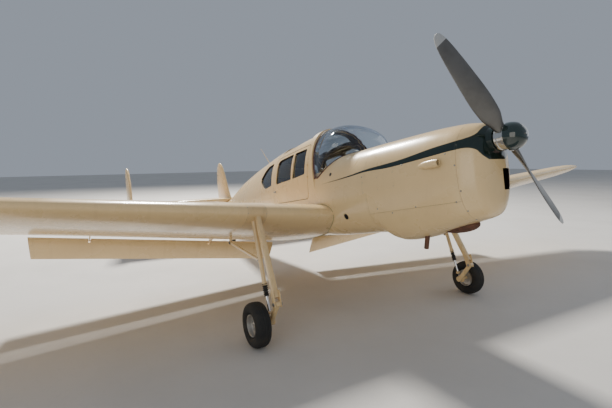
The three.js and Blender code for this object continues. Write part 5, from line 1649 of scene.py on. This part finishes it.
def makeWheel():
    centre = parked(0, gear["halfTrack"], gear["axleUp"])
    tyre = tyreSolid("mainTyreSkin", centre, gear["wheelRadius"], gear["rim"], gear["width"] / 2,
                     (-26, 0, 26))
    dressPair(tyre, "mainTyreSkin", "main_wheel", "tyre", ["main_tyre"], 50)
    side = (0, 1, 0)
    wheel = turned("mainWheelSkin", [
        (0, 22), (33, 22), (36, 19), (52, 17), (60, 15), (76, 14), (86, 22), (90, 40), (92, 54), (97, 58),
        (104, 58), (104.8, 56), (104.8, -56), (104, -58), (97, -58), (94, -54), (88, -36), (80, -32),
        (40, -33), (21, -33), (21, 13), (0, 13)], centre, side, 96)
    ahead, above = (1, 0, 0), (0, 0, 1)
    combine(wheel, [bar("hole", spot + [0, 9, 0], spot + [0, 60, 0], 9, sides=20)
                    for spot in spotsRound(centre, 66, 6, 0, ahead, above)])
    dressPair(wheel, "mainWheelSkin", "main_wheel", "alloy", ["main_wheel"], 35)
    domed = [(0, 33.5), (10, 33.2), (22, 31), (30, 27), (33, 22.4), (0, 22.4)]
    dressPair(turned("hubCap", domed, centre, side, 48), "hubCap", "main_wheel", "polished", (), 40)
    bolts = [turned("bolt", [(0, 24), (5, 24), (6, 22), (6, 16), (0, 16)], spot, side, 6)
             for spot in spotsRound(centre, 45, 6, 0.5, ahead, above)]
    dressPair(joined("hubBolts", bolts), "hubBolts", "main_wheel", "steel")


tailWheel = dict(radius=123.4, rim=58, halfWidth=35, station=-4750, trail=85, centre=125, pivotUp=280)


def makeTailWheel():
    w = tailWheel
    ground = parked(w["station"], 0, w["centre"])
    foot = parked(w["station"] + w["trail"], 0, w["pivotUp"])
    up = unit(parked(0, 0, 1))
    top = foot + up * 150
    housing = bar("tailLegSkin", foot + up * 12, top, 34, sides=48)
    combine(housing, [forging("tailStrut", foot + up * 60, (top[0] + 150, 0, 1330), (34, 26), (60, 34))],
            "UNION")
    combine(housing, [bar("bore", foot - up * 20, foot + up * 120, 17.2)])
    dress(housing, "airframe", "gear", ["tail_wheel_leg"], 35)
    halfFork = w["halfWidth"] + 14
    fork = bar("tailForkSkin", foot - up * 12, foot + up * 11.5, 40, sides=48)
    front = parked(1, 0, 0)
    parts = [bar("post", foot, foot + up * 119, 16),
             squareBlock("bridge", foot, (0, 1, 0), front, up, (-halfFork - 6, halfFork + 6), 30, 11)]
    for s in (-1, 1):
        side = np.array([0, s * halfFork, 0])
        parts.append(forging("cheek", foot + side, ground + side, (26, 6), (20, 6), power=0.7))
    parts.append(bar("pin", *across(ground, halfFork + 10), 10.7))
    combine(fork, parts, "UNION")
    dress(fork, "tail_wheel_fork", "gear", ["tail_wheel_fork"], 35)
    tyre = tyreSolid("tailTyreSkin", ground, w["radius"], w["rim"], w["halfWidth"] - 0.5, (-10, 10), 72, 90)
    dress(tyre, "tail_wheel", "tyre", ["tail_wheel"], 50)
    hub = turned("tailHub", [(11.5, -22), (54, -23), (60, -20), (60, 20), (54, 23), (11.5, 22), (11.5, -22)],
                 ground, (0, 1, 0), 64)
    dress(hub, "tail_wheel", "alloy")


print("building landing gear")
makeLeg()
makeStrut()
makeBrace()
makeWheel()
makeTailWheel()

# Materials of the frame's own pieces that stay
for node, name in dict(engine_block="engine", whip_aerial="cream", instrument_panel="panel",
                       control_column="black").items():
    data = frame["nodes"][node].data
    data.materials.clear()
    data.materials.append(finish[name])
